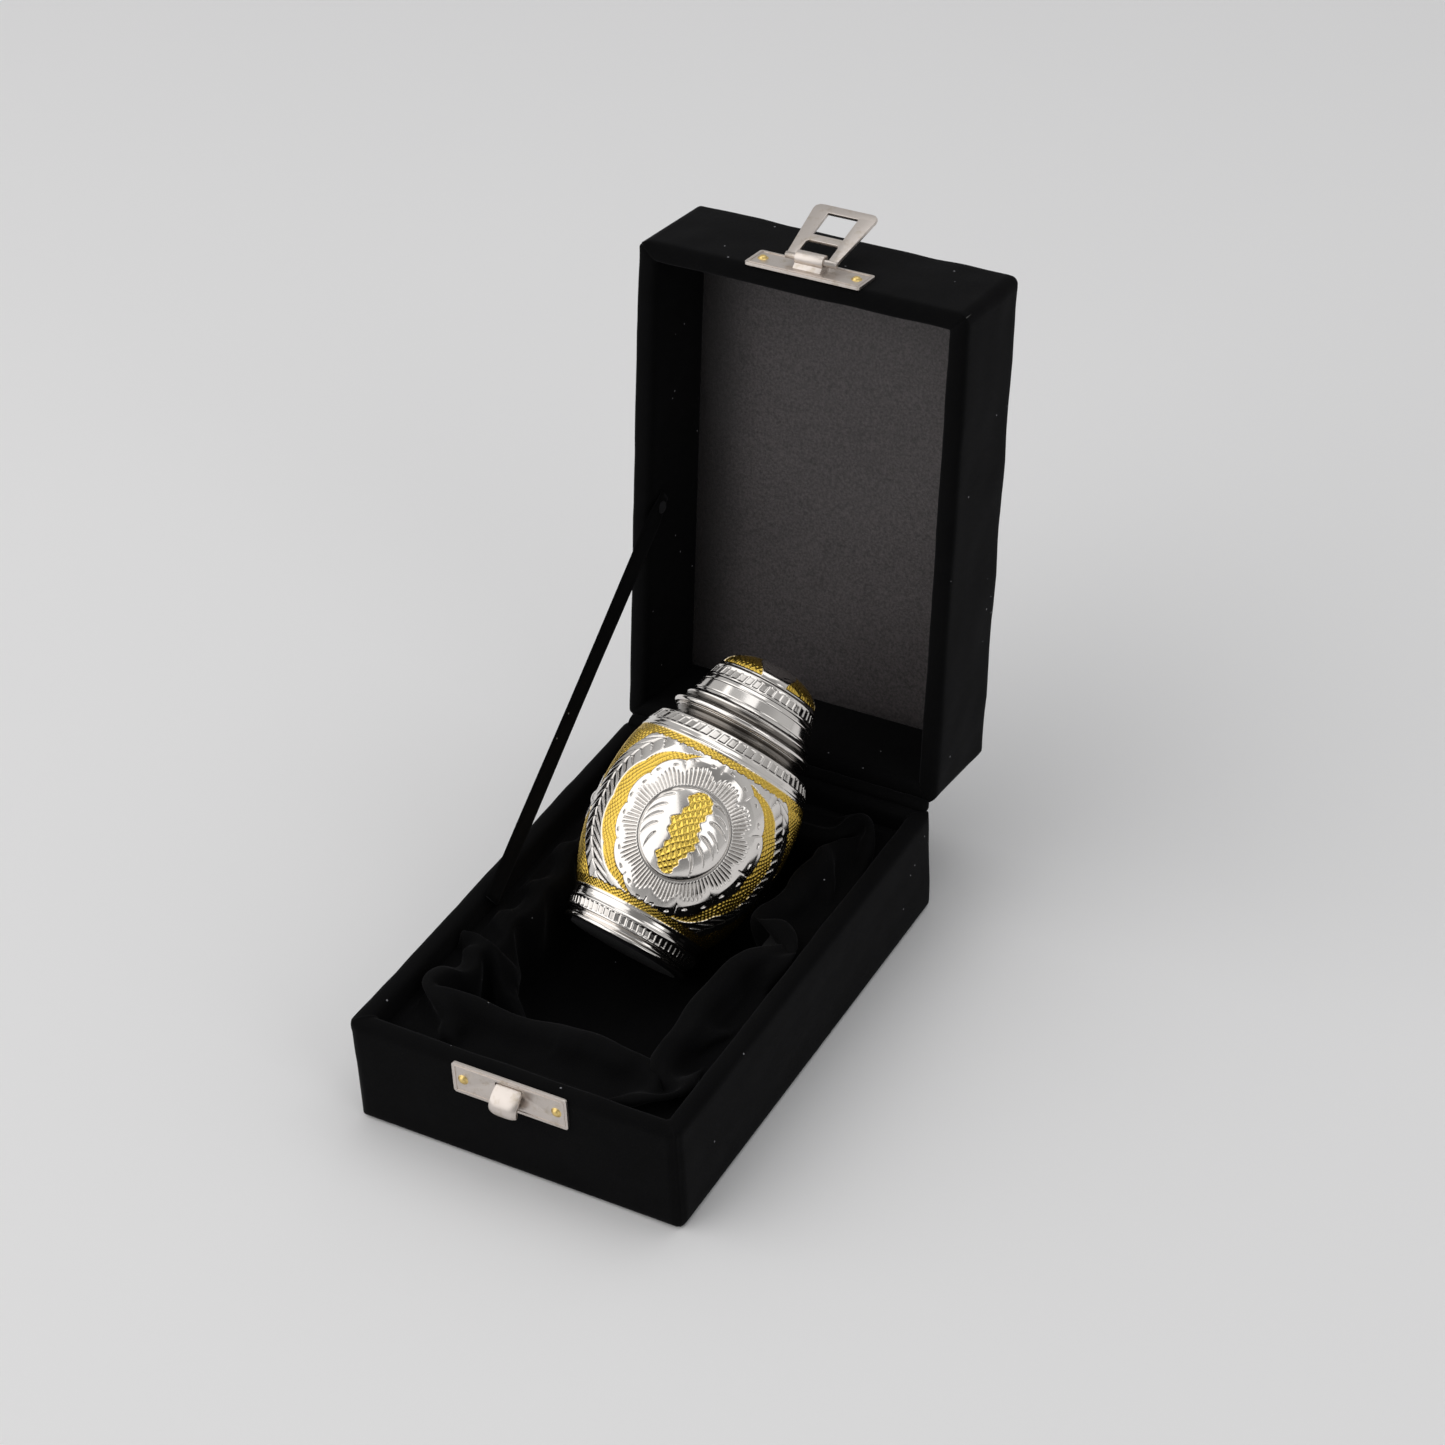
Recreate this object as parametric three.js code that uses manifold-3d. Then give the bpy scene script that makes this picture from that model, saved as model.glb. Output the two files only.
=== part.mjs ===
// A small two-tone metal keepsake urn in its hinged, velvet-covered presentation case.
// Millimetres, +Z up, X across the case, +Y towards the hinge. The origin is the centre of the underside
// of the case's tray. The lid stands open on its strap, and the urn leans back over the tray's rear wall.
import * as THREE from "three";
import { mergeVertices, mergeGeometries } from "three/addons/utils/BufferGeometryUtils.js";
import Module from "manifold-3d";

const wasm = await Module();
wasm.setup();

// ---- Driving dimensions ----------------------------------------------------------------------------
const WIDTH = 85; // case, across
const LENGTH = 127; // case, front to hinge
const TRAY_HEIGHT = 28;
const LID_HEIGHT = 29;
const WALL = 5; // velvet, board and velvet together
const SKIN = 0.9; // velvet with its backing
const CORNER = 3; // upright edges of the case
const EDGE = 1.6; // rounding of the padded outer edges
const RIM_GAP = 0.5; // from the hinge line to the lid's rim; the tray's rim is as far below it
const LID_OPEN = THREE.MathUtils.degToRad(98);

const FLOOR_SHEET = 0.5; // paper under the tray
const FLOOR_BOARD = 2;
const LID_BOARD = 2.5; // the lid's top board
const PANEL_CARD = 0.6;
const PANEL_PAD = 1;

const INSERT_TOP = 22; // top of the foam, below its velvet
const INSERT_GAP = 0.3; // insert to tray wall
const LINING = 0.7; // velvet over the foam
const RECESS = { left: -29, right: 25, front: -43, back: 47 }; // the hollow in the foam, lined

const URN_HEIGHT = 76;
const URN_FOOT = new THREE.Vector3(-6.76, -1.49, 16.1); // centre of the foot
const URN_LEAN = THREE.MathUtils.degToRad(36.3); // of its axis above level
const URN_YAW = THREE.MathUtils.degToRad(10.2); // of its axis towards +X
const NECK_BORE = 13;
const SLEEVE_RADIUS = 12.7;

const LATCH_X = 0.5; // the clasp sits a little off the middle
const PLATE = { width: 29.5, height: 8.6, thick: 0.7, corner: 0.8 };
const RIVET_SPACING = 24;
const RIVET_SHANK = 0.45;
const RIVET_LENGTH = 2.6; // of the shank, behind the plate's face
const LATCH_WIDTH = 7; // of the hook and of the knuckle
const KEEPER_FOOT = TRAY_HEIGHT - PLATE.height - 0.2; // lower edge of the keeper plate
const PIVOT_UP = 5; // hasp pivot above the lid's rim
const PIVOT_OUT = 2.2; // hasp pivot in front of the lid
const HASP_REST = THREE.MathUtils.degToRad(18); // between the hasp and the lid it is folded back on

const HASP = {
  length: 19.2,
  halfWidth: 6.4,
  taper: 0.1, // half its width grows by this, along its length
  thick: 0.9,
  bar: 0.8, // radius of the pivot bar
  gap: [1.4, 6.2, 4.1], // from, to and half width
  window: [8.4, 16.6, 3.9],
};
const TURNED_GAP = 0.1; // between pieces inside the turned lid

const STRAP = { width: 8, thick: 0.7, lidAlong: 58, lidDepth: 4.5, trayY: -10.5, trayZ: 27 };

// ---- Solids ----------------------------------------------------------------------------------------
function solidOf(geometry) {
  const bare = (geometry.index ? geometry.toNonIndexed() : geometry).clone();
  bare.deleteAttribute("normal");
  bare.deleteAttribute("uv");
  const merged = mergeVertices(bare, 1e-4);
  return new wasm.Manifold(
    new wasm.Mesh({
      numProp: 3,
      vertProperties: new Float32Array(merged.attributes.position.array),
      triVerts: new Uint32Array(merged.index.array),
    }),
  );
}

function geometryOf(solid) {
  const mesh = solid.getMesh();
  const geometry = new THREE.BufferGeometry();
  geometry.setAttribute("position", new THREE.BufferAttribute(mesh.vertProperties, 3));
  geometry.setIndex(new THREE.BufferAttribute(mesh.triVerts, 1));
  geometry.computeVertexNormals();
  return geometry;
}

// A box from its lowest to its highest corner.
function box(x0, x1, y0, y1, z0, z1) {
  return new THREE.BoxGeometry(x1 - x0, y1 - y0, z1 - z0).translate(
    (x0 + x1) / 2,
    (y0 + y1) / 2,
    (z0 + z1) / 2,
  );
}

function roundedOutline(width, height, radius, Outline = THREE.Shape) {
  const [x, y] = [width / 2, height / 2];
  const outline = new Outline();
  outline.moveTo(-x + radius, -y);
  outline.lineTo(x - radius, -y);
  outline.absarc(x - radius, -y + radius, radius, -Math.PI / 2, 0);
  outline.lineTo(x, y - radius);
  outline.absarc(x - radius, y - radius, radius, 0, Math.PI / 2);
  outline.lineTo(-x + radius, y);
  outline.absarc(-x + radius, y - radius, radius, Math.PI / 2, Math.PI);
  outline.lineTo(-x, -y + radius);
  outline.absarc(-x + radius, -y + radius, radius, Math.PI, 1.5 * Math.PI);
  return outline;
}

// An upright block with round corners, and rounded edges at its top and bottom.
function paddedBlock(width, length, z0, z1, corner, edge) {
  const outline = roundedOutline(width - 2 * edge, length - 2 * edge, corner - edge / 2);
  return new THREE.ExtrudeGeometry(outline, {
    depth: z1 - z0 - 2 * edge,
    bevelThickness: edge,
    bevelSize: edge,
    bevelSegments: 3,
    curveSegments: 3,
  }).translate(0, 0, z0 + edge);
}

function lathe(points, segments) {
  const profile = points.map(([r, s]) => new THREE.Vector2(r, s));
  // LatheGeometry turns about Y; the urn's axis is Z.
  return new THREE.LatheGeometry(profile, segments).rotateX(Math.PI / 2);
}

// A flat plate of an outline in X and Z, standing in front of y = 0.
function plateOf(outline, thick, curveSegments = 3) {
  return new THREE.ExtrudeGeometry(outline, { depth: thick, bevelEnabled: false, curveSegments }).rotateX(
    Math.PI / 2,
  );
}

// An outline in Y and Z, extruded along X and centred on x = 0.
function acrossX(outline, width, curveSegments = 4) {
  const turned = new THREE.Matrix4().makeBasis(
    new THREE.Vector3(0, 1, 0),
    new THREE.Vector3(0, 0, 1),
    new THREE.Vector3(1, 0, 0),
  );
  return new THREE.ExtrudeGeometry(outline, { depth: width, bevelEnabled: false, curveSegments })
    .translate(0, 0, -width / 2)
    .applyMatrix4(turned);
}

function part(name, shape, material) {
  const mesh = new THREE.Mesh(shape.isBufferGeometry ? shape : geometryOf(shape), material);
  mesh.name = name;
  return mesh;
}

// ---- Materials -------------------------------------------------------------------------------------
const velvet = new THREE.MeshStandardMaterial({ color: 0x09090b, roughness: 1, metalness: 0 });
const satin = new THREE.MeshStandardMaterial({ color: 0x2a272b, roughness: 0.55, metalness: 0 });
const board = new THREE.MeshStandardMaterial({ color: 0xa88a63, roughness: 0.9, metalness: 0 });
const card = new THREE.MeshStandardMaterial({ color: 0x55504a, roughness: 0.95, metalness: 0 });
const foam = new THREE.MeshStandardMaterial({ color: 0x3a3a3c, roughness: 1, metalness: 0 });
const nickel = new THREE.MeshStandardMaterial({ color: 0xd8d2c8, roughness: 0.2, metalness: 1 });
const brass = new THREE.MeshStandardMaterial({ color: 0xc9a227, roughness: 0.3, metalness: 1 });
const latchMetal = new THREE.MeshStandardMaterial({ color: 0xd6c6b2, roughness: 0.35, metalness: 1 });
const felt = new THREE.MeshStandardMaterial({ color: 0x17171a, roughness: 1, metalness: 0 });

// ---- Shared case pieces ----------------------------------------------------------------------------
// Four wall boards in a rectangle between two heights. The front and rear boards run the full width.
function wallBoards(prefix, centreY, z0, z1, holes) {
  const [x, y] = [WIDTH / 2 - SKIN, LENGTH / 2 - SKIN];
  const thick = WALL - 2 * SKIN;
  const at = (x0, x1, y0, y1) => box(x0, x1, centreY + y0, centreY + y1, z0, z1);
  return [
    part(`${prefix}_front_board`, solidOf(at(-x, x, -y, -y + thick)).subtract(holes), board),
    part(`${prefix}_rear_board`, at(-x, x, y - thick, y), board),
    part(`${prefix}_left_board`, at(-x, -x + thick, -y + thick, y - thick), board),
    part(`${prefix}_right_board`, at(x - thick, x, -y + thick, y - thick), board),
  ];
}

// The ring that the wall boards fill, for cutting them out of the velvet.
function boardRing(centreY, z0, z1) {
  const [x, y] = [WIDTH / 2 - SKIN, LENGTH / 2 - SKIN];
  const thick = WALL - 2 * SKIN;
  return solidOf(box(-x, x, centreY - y, centreY + y, z0, z1)).subtract(
    solidOf(box(-x + thick, x - thick, centreY - y + thick, centreY + y - thick, z0 - 1, z1 + 1)),
  );
}

// A brass pin with a domed head, driven backwards through the clasp plate and the velvet into the board.
function rivet(name) {
  const domed = [
    [0, -RIVET_LENGTH],
    [RIVET_SHANK, -RIVET_LENGTH],
    [RIVET_SHANK, 0.1],
    [1, 0.1],
    [0.85, 0.4],
    [0.45, 0.6],
    [0, 0.65],
  ];
  return part(name, lathe(domed, 12).rotateX(Math.PI / 2), brass);
}

function rivetPair(prefix) {
  return ["left", "right"].map((side, i) => {
    const pin = rivet(`${prefix}_rivet_${side}`);
    pin.position.set((i - 0.5) * RIVET_SPACING, -PLATE.thick, PLATE.height / 2);
    return pin;
  });
}

// The holes that a clasp's two rivets need, for a clasp plate whose back is on y and whose middle is at z.
function rivetHoles(y, z) {
  const drill = (side) =>
    solidOf(
      new THREE.CylinderGeometry(RIVET_SHANK + 0.1, RIVET_SHANK + 0.1, 2 * RIVET_LENGTH, 12).translate(
        LATCH_X + (side * RIVET_SPACING) / 2,
        y,
        z,
      ),
    );
  return drill(-1).add(drill(1));
}

// A clasp plate with its rivet holes, its back on y = 0 and its lower edge on z = 0.
function claspPlate() {
  const outline = roundedOutline(PLATE.width, PLATE.height, PLATE.corner);
  for (const side of [-1, 1]) {
    const hole = new THREE.Path();
    hole.absarc((side * RIVET_SPACING) / 2, 0, 0.55, 0, 2 * Math.PI);
    outline.holes.push(hole);
  }
  return solidOf(plateOf(outline, PLATE.thick).translate(0, 0, PLATE.height / 2));
}

// ---- Tray ------------------------------------------------------------------------------------------
function tray() {
  const floorTop = FLOOR_SHEET + FLOOR_BOARD;
  const boardTop = TRAY_HEIGHT - SKIN;
  const [x, y] = [WIDTH / 2, LENGTH / 2];
  const holes = rivetHoles(-y, KEEPER_FOOT + PLATE.height / 2);
  const cover = solidOf(paddedBlock(WIDTH, LENGTH, -6, TRAY_HEIGHT, CORNER, EDGE))
    .subtract(solidOf(box(-x - 1, x + 1, -y - 1, y + 1, -7, 0)))
    .subtract(solidOf(box(-x + SKIN, x - SKIN, -y + SKIN, y - SKIN, -1, floorTop)))
    .subtract(boardRing(0, floorTop - 1, boardTop))
    .subtract(solidOf(box(-x + WALL, x - WALL, -y + WALL, y - WALL, 1, TRAY_HEIGHT + 1)))
    .subtract(holes);
  const [sheetX, sheetY] = [x - SKIN, y - SKIN];
  return [
    part("tray_velvet_cover", cover, velvet),
    part("tray_underside_sheet", box(-sheetX, sheetX, -sheetY, sheetY, 0, FLOOR_SHEET), card),
    part("tray_floor_board", box(-sheetX, sheetX, -sheetY, sheetY, FLOOR_SHEET, floorTop), board),
    ...wallBoards("tray", 0, floorTop, boardTop, holes),
    ...insert(floorTop),
    ...keeper(),
  ];
}

// The foam former, and the velvet that covers it and lines its recess.
function insert(floorTop) {
  const [x, y] = [WIDTH / 2 - WALL - INSERT_GAP, LENGTH / 2 - WALL - INSERT_GAP];
  const { left, right, front, back } = RECESS;
  const former = solidOf(box(-x, x, -y, y, floorTop + LINING, INSERT_TOP)).subtract(
    solidOf(box(left - LINING, right + LINING, front - LINING, back + LINING, 0, INSERT_TOP + 1)),
  );
  const top = INSERT_TOP + LINING;
  const lining = solidOf(box(-x, x, -y, y, INSERT_TOP, top))
    .add(solidOf(box(left - LINING, right + LINING, front - LINING, back + LINING, floorTop, top)))
    .subtract(solidOf(box(left, right, front, back, floorTop + LINING, top + 1)));
  return [part("insert_foam_former", former, foam), part("insert_velvet_lining", lining, velvet)];
}

// The lower clasp plate. Its hook is a tongue pressed out of the plate and bent down.
function keeper() {
  const face = -LENGTH / 2;
  const hook = new THREE.Shape();
  hook.moveTo(0, 0);
  hook.lineTo(0, -1.3);
  hook.quadraticCurveTo(-2.6, -1.4, -2.7, -3.6);
  hook.lineTo(-2.5, -5.4);
  hook.quadraticCurveTo(-3.4, -6.2, -4.1, -5.2);
  hook.lineTo(-4.2, -3.2);
  hook.quadraticCurveTo(-4.1, 0.1, 0, 0);
  const tongue = acrossX(hook, LATCH_WIDTH);
  tongue.translate(0, -PLATE.thick / 2, PLATE.height - 3.3);
  const plate = claspPlate().add(solidOf(tongue));
  const group = new THREE.Group();
  group.position.set(LATCH_X, face, KEEPER_FOOT);
  group.add(part("keeper_plate_with_hook", plate, latchMetal), ...rivetPair("keeper"));
  return [group];
}

// ---- Lid -------------------------------------------------------------------------------------------
// Modelled shut, from the hinge line at the origin towards -Y, then turned open about X.
function lid() {
  const middle = -LENGTH / 2;
  const [x, y] = [WIDTH / 2, LENGTH / 2];
  const ceiling = LID_HEIGHT - SKIN - LID_BOARD;
  const between = (inset, z0, z1) =>
    solidOf(box(-x + inset, x - inset, middle - y + inset, middle + y - inset, z0, z1));
  const holes = rivetHoles(middle - y, RIM_GAP + PLATE.height / 2);
  const cover = solidOf(paddedBlock(WIDTH, LENGTH, RIM_GAP, LID_HEIGHT, CORNER, EDGE).translate(0, middle, 0))
    .subtract(boardRing(middle, RIM_GAP + SKIN, ceiling + 0.5))
    .subtract(between(SKIN, ceiling, LID_HEIGHT - SKIN))
    .subtract(between(WALL, -1, ceiling + 1))
    .subtract(holes);
  const topBoard = between(SKIN + TURNED_GAP, ceiling + TURNED_GAP, LID_HEIGHT - SKIN - TURNED_GAP);
  const cardFoot = ceiling - PANEL_CARD;
  const group = new THREE.Group();
  group.position.set(0, LENGTH / 2, TRAY_HEIGHT + RIM_GAP);
  group.rotation.x = -LID_OPEN;
  group.add(
    part("lid_velvet_cover", cover, velvet),
    part("lid_top_board", topBoard, board),
    ...wallBoards("lid", middle, RIM_GAP + SKIN + TURNED_GAP, ceiling - TURNED_GAP, holes),
    part("lid_panel_card", between(WALL + TURNED_GAP, cardFoot, ceiling), card),
    part("lid_satin_panel", satinPanel(middle, cardFoot - TURNED_GAP), satin),
    strapStud("strap_stud_lid", 1),
    ...clasp(middle - y),
  );
  return group;
}

// The satin-covered pad in the lid's ceiling, with a softly rounded edge.
function satinPanel(middle, top) {
  const inset = 2 * (WALL + TURNED_GAP);
  const pad = paddedBlock(WIDTH - inset, LENGTH - inset, top - PANEL_PAD, top, 2, 0.3);
  return solidOf(pad.translate(0, middle, 0));
}

// The upper clasp plate, its knuckle, and the hasp that turns in the knuckle.
function clasp(face) {
  const knuckle = new THREE.Shape();
  const reach = PIVOT_OUT + 0.9;
  knuckle.moveTo(0, -3.2);
  knuckle.lineTo(-PIVOT_OUT + 0.4, -2.3);
  knuckle.absarc(-PIVOT_OUT, 0, reach - 0.6, (4 * Math.PI) / 3, (2 * Math.PI) / 3, true);
  knuckle.lineTo(0, 2.4);
  const bore = new THREE.Path();
  bore.absarc(-PIVOT_OUT, 0, HASP.bar + 0.25, 0, 2 * Math.PI);
  knuckle.holes.push(bore);
  const lug = acrossX(knuckle, LATCH_WIDTH).translate(0, -PLATE.thick / 2, PIVOT_UP);
  const plate = claspPlate()
    .add(solidOf(lug))
    .subtract(solidOf(acrossX(pivotHole(), LATCH_WIDTH + 2)));
  const group = new THREE.Group();
  group.position.set(LATCH_X, face, RIM_GAP);
  group.add(part("hasp_plate_with_knuckle", plate, latchMetal), ...rivetPair("hasp"), hasp());
  return [group];
}

function pivotHole() {
  const hole = new THREE.Shape();
  hole.absarc(-PIVOT_OUT - PLATE.thick / 2, PIVOT_UP, HASP.bar + 0.25, 0, 2 * Math.PI);
  return hole;
}

// A flat tapering loop: a round pivot bar, a gap for the knuckle, a cross bar, and the window for the hook.
function hasp() {
  const half = (along) => HASP.halfWidth + HASP.taper * along;
  const { length, gap, window } = HASP;
  const outline = new THREE.Shape();
  outline.moveTo(-half(0), 0);
  outline.lineTo(half(0), 0);
  outline.lineTo(half(length - 1.5), length - 1.5);
  outline.quadraticCurveTo(half(length), length, half(length) - 1.6, length);
  outline.lineTo(-half(length) + 1.6, length);
  outline.quadraticCurveTo(-half(length), length, -half(length - 1.5), length - 1.5);
  for (const [from, to, wide] of [gap, window]) {
    const hole = new THREE.Path();
    hole.moveTo(-wide, from);
    hole.lineTo(-wide, to);
    hole.lineTo(wide, to);
    hole.lineTo(wide, from);
    outline.holes.push(hole);
  }
  const flat = new THREE.ExtrudeGeometry(outline, { depth: HASP.thick, bevelEnabled: false, curveSegments: 4 })
    .translate(0, 0, -HASP.thick / 2)
    .rotateX(Math.PI / 2);
  const bar = new THREE.CylinderGeometry(HASP.bar, HASP.bar, 2 * half(0), 10).rotateZ(Math.PI / 2);
  const opening = solidOf(box(-gap[2], gap[2], -3, 3, -3, gap[0] + 0.01));
  const loop = solidOf(flat).subtract(opening).add(solidOf(bar));
  const mesh = part("hasp_loop", loop, latchMetal);
  mesh.position.set(0, -PIVOT_OUT - PLATE.thick / 2, PIVOT_UP);
  mesh.rotation.x = HASP_REST;
  return mesh;
}

// ---- Strap -----------------------------------------------------------------------------------------
// A flat velvet band along the left wall, pinned to the lid at one end and to the tray at the other.
function lidPoint(along, depth) {
  const [c, s] = [Math.cos(LID_OPEN), Math.sin(LID_OPEN)];
  return new THREE.Vector2(
    LENGTH / 2 - along * c + depth * s,
    TRAY_HEIGHT + RIM_GAP + along * s + depth * c,
  );
}

function strap() {
  const top = lidPoint(STRAP.lidAlong, STRAP.lidDepth);
  const foot = new THREE.Vector2(STRAP.trayY, STRAP.trayZ);
  const run = top.clone().sub(foot);
  const side = new THREE.Vector2(-run.y, run.x).setLength(STRAP.width / 2);
  const end = run.clone().setLength(STRAP.width / 2);
  const band = new THREE.Shape([
    foot.clone().sub(side),
    foot.clone().add(side),
    top.clone().add(side).add(end),
    top.clone().sub(side).add(end),
  ]);
  const x = -WIDTH / 2 + WALL + 0.3 + STRAP.thick / 2;
  const hole = new THREE.Path();
  hole.absarc(top.x, top.y, 1, 0, 2 * Math.PI);
  band.holes.push(hole);
  return part("lid_stay_strap", acrossX(band, STRAP.thick).translate(x, 0, 0), velvet);
}

// The small covered stud that pins the strap to the lid's left wall.
function strapStud(name, radius) {
  const button = [
    [0, -0.25],
    [radius - 0.2, -0.25],
    [radius - 0.2, STRAP.thick + 0.1],
    [radius + 0.5, STRAP.thick + 0.1],
    [radius + 0.2, STRAP.thick + 0.7],
    [0, STRAP.thick + 0.9],
  ];
  const stud = part(name, lathe(button, 12), felt);
  stud.rotation.y = Math.PI / 2;
  stud.position.set(-WIDTH / 2 + WALL + 0.3, -STRAP.lidAlong, STRAP.lidDepth);
  return stud;
}

// The cloth roll that fills the hinge line between the two rims.
function hingeRoll() {
  const roll = new THREE.CylinderGeometry(RIM_GAP - 0.1, RIM_GAP - 0.1, WIDTH - 2 * CORNER, 8);
  return part(
    "hinge_cloth_roll",
    roll.rotateZ(Math.PI / 2).translate(0, LENGTH / 2, TRAY_HEIGHT + RIM_GAP),
    velvet,
  );
}

// ---- Urn -------------------------------------------------------------------------------------------
// Radius and height above the foot, in millimetres, along the outside of the vessel and of its cap.
const VESSEL_OUTSIDE = [
  [15.6, 0],
  [16, 1],
  [15.5, 2.2],
  [16.4, 3],
  [16.9, 6.2],
  [16.6, 7],
  [17.3, 8.4],
  [19.5, 12],
  [21.4, 17],
  [22.9, 23.5],
  [23.7, 30],
  [23.8, 36],
  [23.4, 42],
  [22.3, 47.5],
  [21.2, 50],
  [19.9, 52.6],
  [18.6, 53.6],
  [17.4, 55.4],
  [17.2, 56.6],
];
const CAP_OUTSIDE = [
  [17.3, 56.9],
  [18.2, 57.8],
  [18, 59.2],
  [16.4, 60.2],
  [15.4, 62],
  [14.6, 65.6],
  [14.2, 66.2],
  [13.2, 69.4],
  [13, 70.2],
  [11.9, 71.2],
  [9.6, 73.4],
  [6, 75.2],
  [3, 75.9],
];

function urn() {
  const vesselWall = VESSEL_OUTSIDE.slice(8, 16).map(([r, s]) => [r - 1.3, s]);
  const vessel = lathe(
    [
      ...VESSEL_OUTSIDE,
      [NECK_BORE, 56.6],
      [NECK_BORE, 53.4],
      [16.6, 52.6],
      ...vesselWall.reverse(),
      [16, 8.4],
      [14.4, 2.6],
      [14.4, 0],
      VESSEL_OUTSIDE[0],
    ],
    40,
  );
  const cap = lathe(
    [
      [NECK_BORE, 56.9],
      ...CAP_OUTSIDE,
      [0, 76],
      [0, 74.8],
      [5, 74.2],
      [8.6, 72.4],
      [11, 70],
      [12, 66],
      [NECK_BORE, 62],
      [NECK_BORE, 56.9],
    ],
    36,
  );
  const sleeve = lathe(
    [
      [11.4, 50.8],
      [SLEEVE_RADIUS - 0.4, 50.8],
      [SLEEVE_RADIUS, 51.2],
      [SLEEVE_RADIUS, 61.6],
      [11.4, 61.6],
      [11.4, 50.8],
    ],
    32,
  );
  const disc = lathe([[0, 0.9], [14.2, 0.9], [14.2, 1.9], [0, 1.9]], 32);
  const pad = lathe([[0, -0.5], [14, -0.5], [14, 0.6], [0, 0.6]], 32);
  const group = new THREE.Group();
  group.position.copy(URN_FOOT);
  group.rotation.set(URN_LEAN - Math.PI / 2, 0, -URN_YAW, "ZYX");
  group.add(
    part("urn_vessel", vessel, nickel),
    part("urn_cap", cap, nickel),
    part("urn_cap_threaded_sleeve", sleeve, brass),
    part("urn_base_disc", disc, brass),
    part("urn_foot_felt", pad, felt),
  );
  return group;
}

const root = new THREE.Group();
root.add(...tray(), lid(), strap(), hingeRoll(), urn());
export default root;
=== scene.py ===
import math

import bmesh
import bpy
import numpy as np
from mathutils import Matrix, Vector


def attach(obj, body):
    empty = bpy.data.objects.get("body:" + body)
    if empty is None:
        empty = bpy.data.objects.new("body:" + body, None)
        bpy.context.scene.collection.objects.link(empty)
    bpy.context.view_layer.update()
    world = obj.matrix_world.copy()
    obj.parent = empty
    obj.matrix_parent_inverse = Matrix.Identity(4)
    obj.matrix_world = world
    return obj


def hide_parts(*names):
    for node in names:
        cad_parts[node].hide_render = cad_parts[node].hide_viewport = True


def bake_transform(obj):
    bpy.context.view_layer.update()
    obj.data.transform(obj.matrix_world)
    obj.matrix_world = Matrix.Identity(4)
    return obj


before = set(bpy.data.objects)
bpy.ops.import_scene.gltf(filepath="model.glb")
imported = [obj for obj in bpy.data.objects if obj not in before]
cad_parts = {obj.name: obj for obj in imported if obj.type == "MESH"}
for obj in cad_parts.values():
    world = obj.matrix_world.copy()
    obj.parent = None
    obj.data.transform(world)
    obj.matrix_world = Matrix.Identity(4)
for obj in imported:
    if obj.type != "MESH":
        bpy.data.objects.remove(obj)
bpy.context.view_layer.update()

MM = 0.001

# ---- Camera, floor and light -----------------------------------------------------------------------
# A long lens looks down on the open case from its front right corner. The floor is plain and pale, and
# the light comes from one large soft box on the left, with weaker ones overhead and on the right.
CAMERA_PLACE = Vector((0.32746, -0.53017, 0.54226))
CAMERA_AXES = Matrix((
    (0.87878409, -0.25783551, 0.40157113),
    (0.47586167, 0.53687917, -0.69664656),
    (-0.03597495, 0.80329422, 0.59449491),
))
lens = bpy.data.cameras.new("camera")
lens.sensor_width = 36
lens.lens = 86.49
lens.clip_start = 0.01
lens.clip_end = 20
camera = bpy.data.objects.new("camera", lens)
camera.matrix_world = Matrix.Translation(CAMERA_PLACE) @ CAMERA_AXES.to_4x4()
bpy.context.collection.objects.link(camera)
bpy.context.scene.camera = camera


class Value:
    """A number that varies over a surface, so that a finish's sums can be written as sums."""

    def __init__(self, finish, socket):
        self.finish = finish
        self.socket = socket

    def sum(self, operation, *terms):
        return self.finish.node("ShaderNodeMath", {"operation": operation}, dict(enumerate(terms)))

    def __add__(self, other):
        return self.sum("ADD", self, other)

    def __sub__(self, other):
        return self.sum("SUBTRACT", self, other)

    def __rsub__(self, other):
        return self.sum("SUBTRACT", other, self)

    def __mul__(self, other):
        return self.sum("MULTIPLY", self, other)

    def __truediv__(self, other):
        return self.sum("DIVIDE", self, other)

    def __pow__(self, other):
        return self.sum("POWER", self, other)

    def above(self, level):
        return self.sum("GREATER_THAN", self, level)

    def below(self, level):
        return self.sum("LESS_THAN", self, level)

    __radd__ = __add__
    __rmul__ = __mul__


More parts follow.
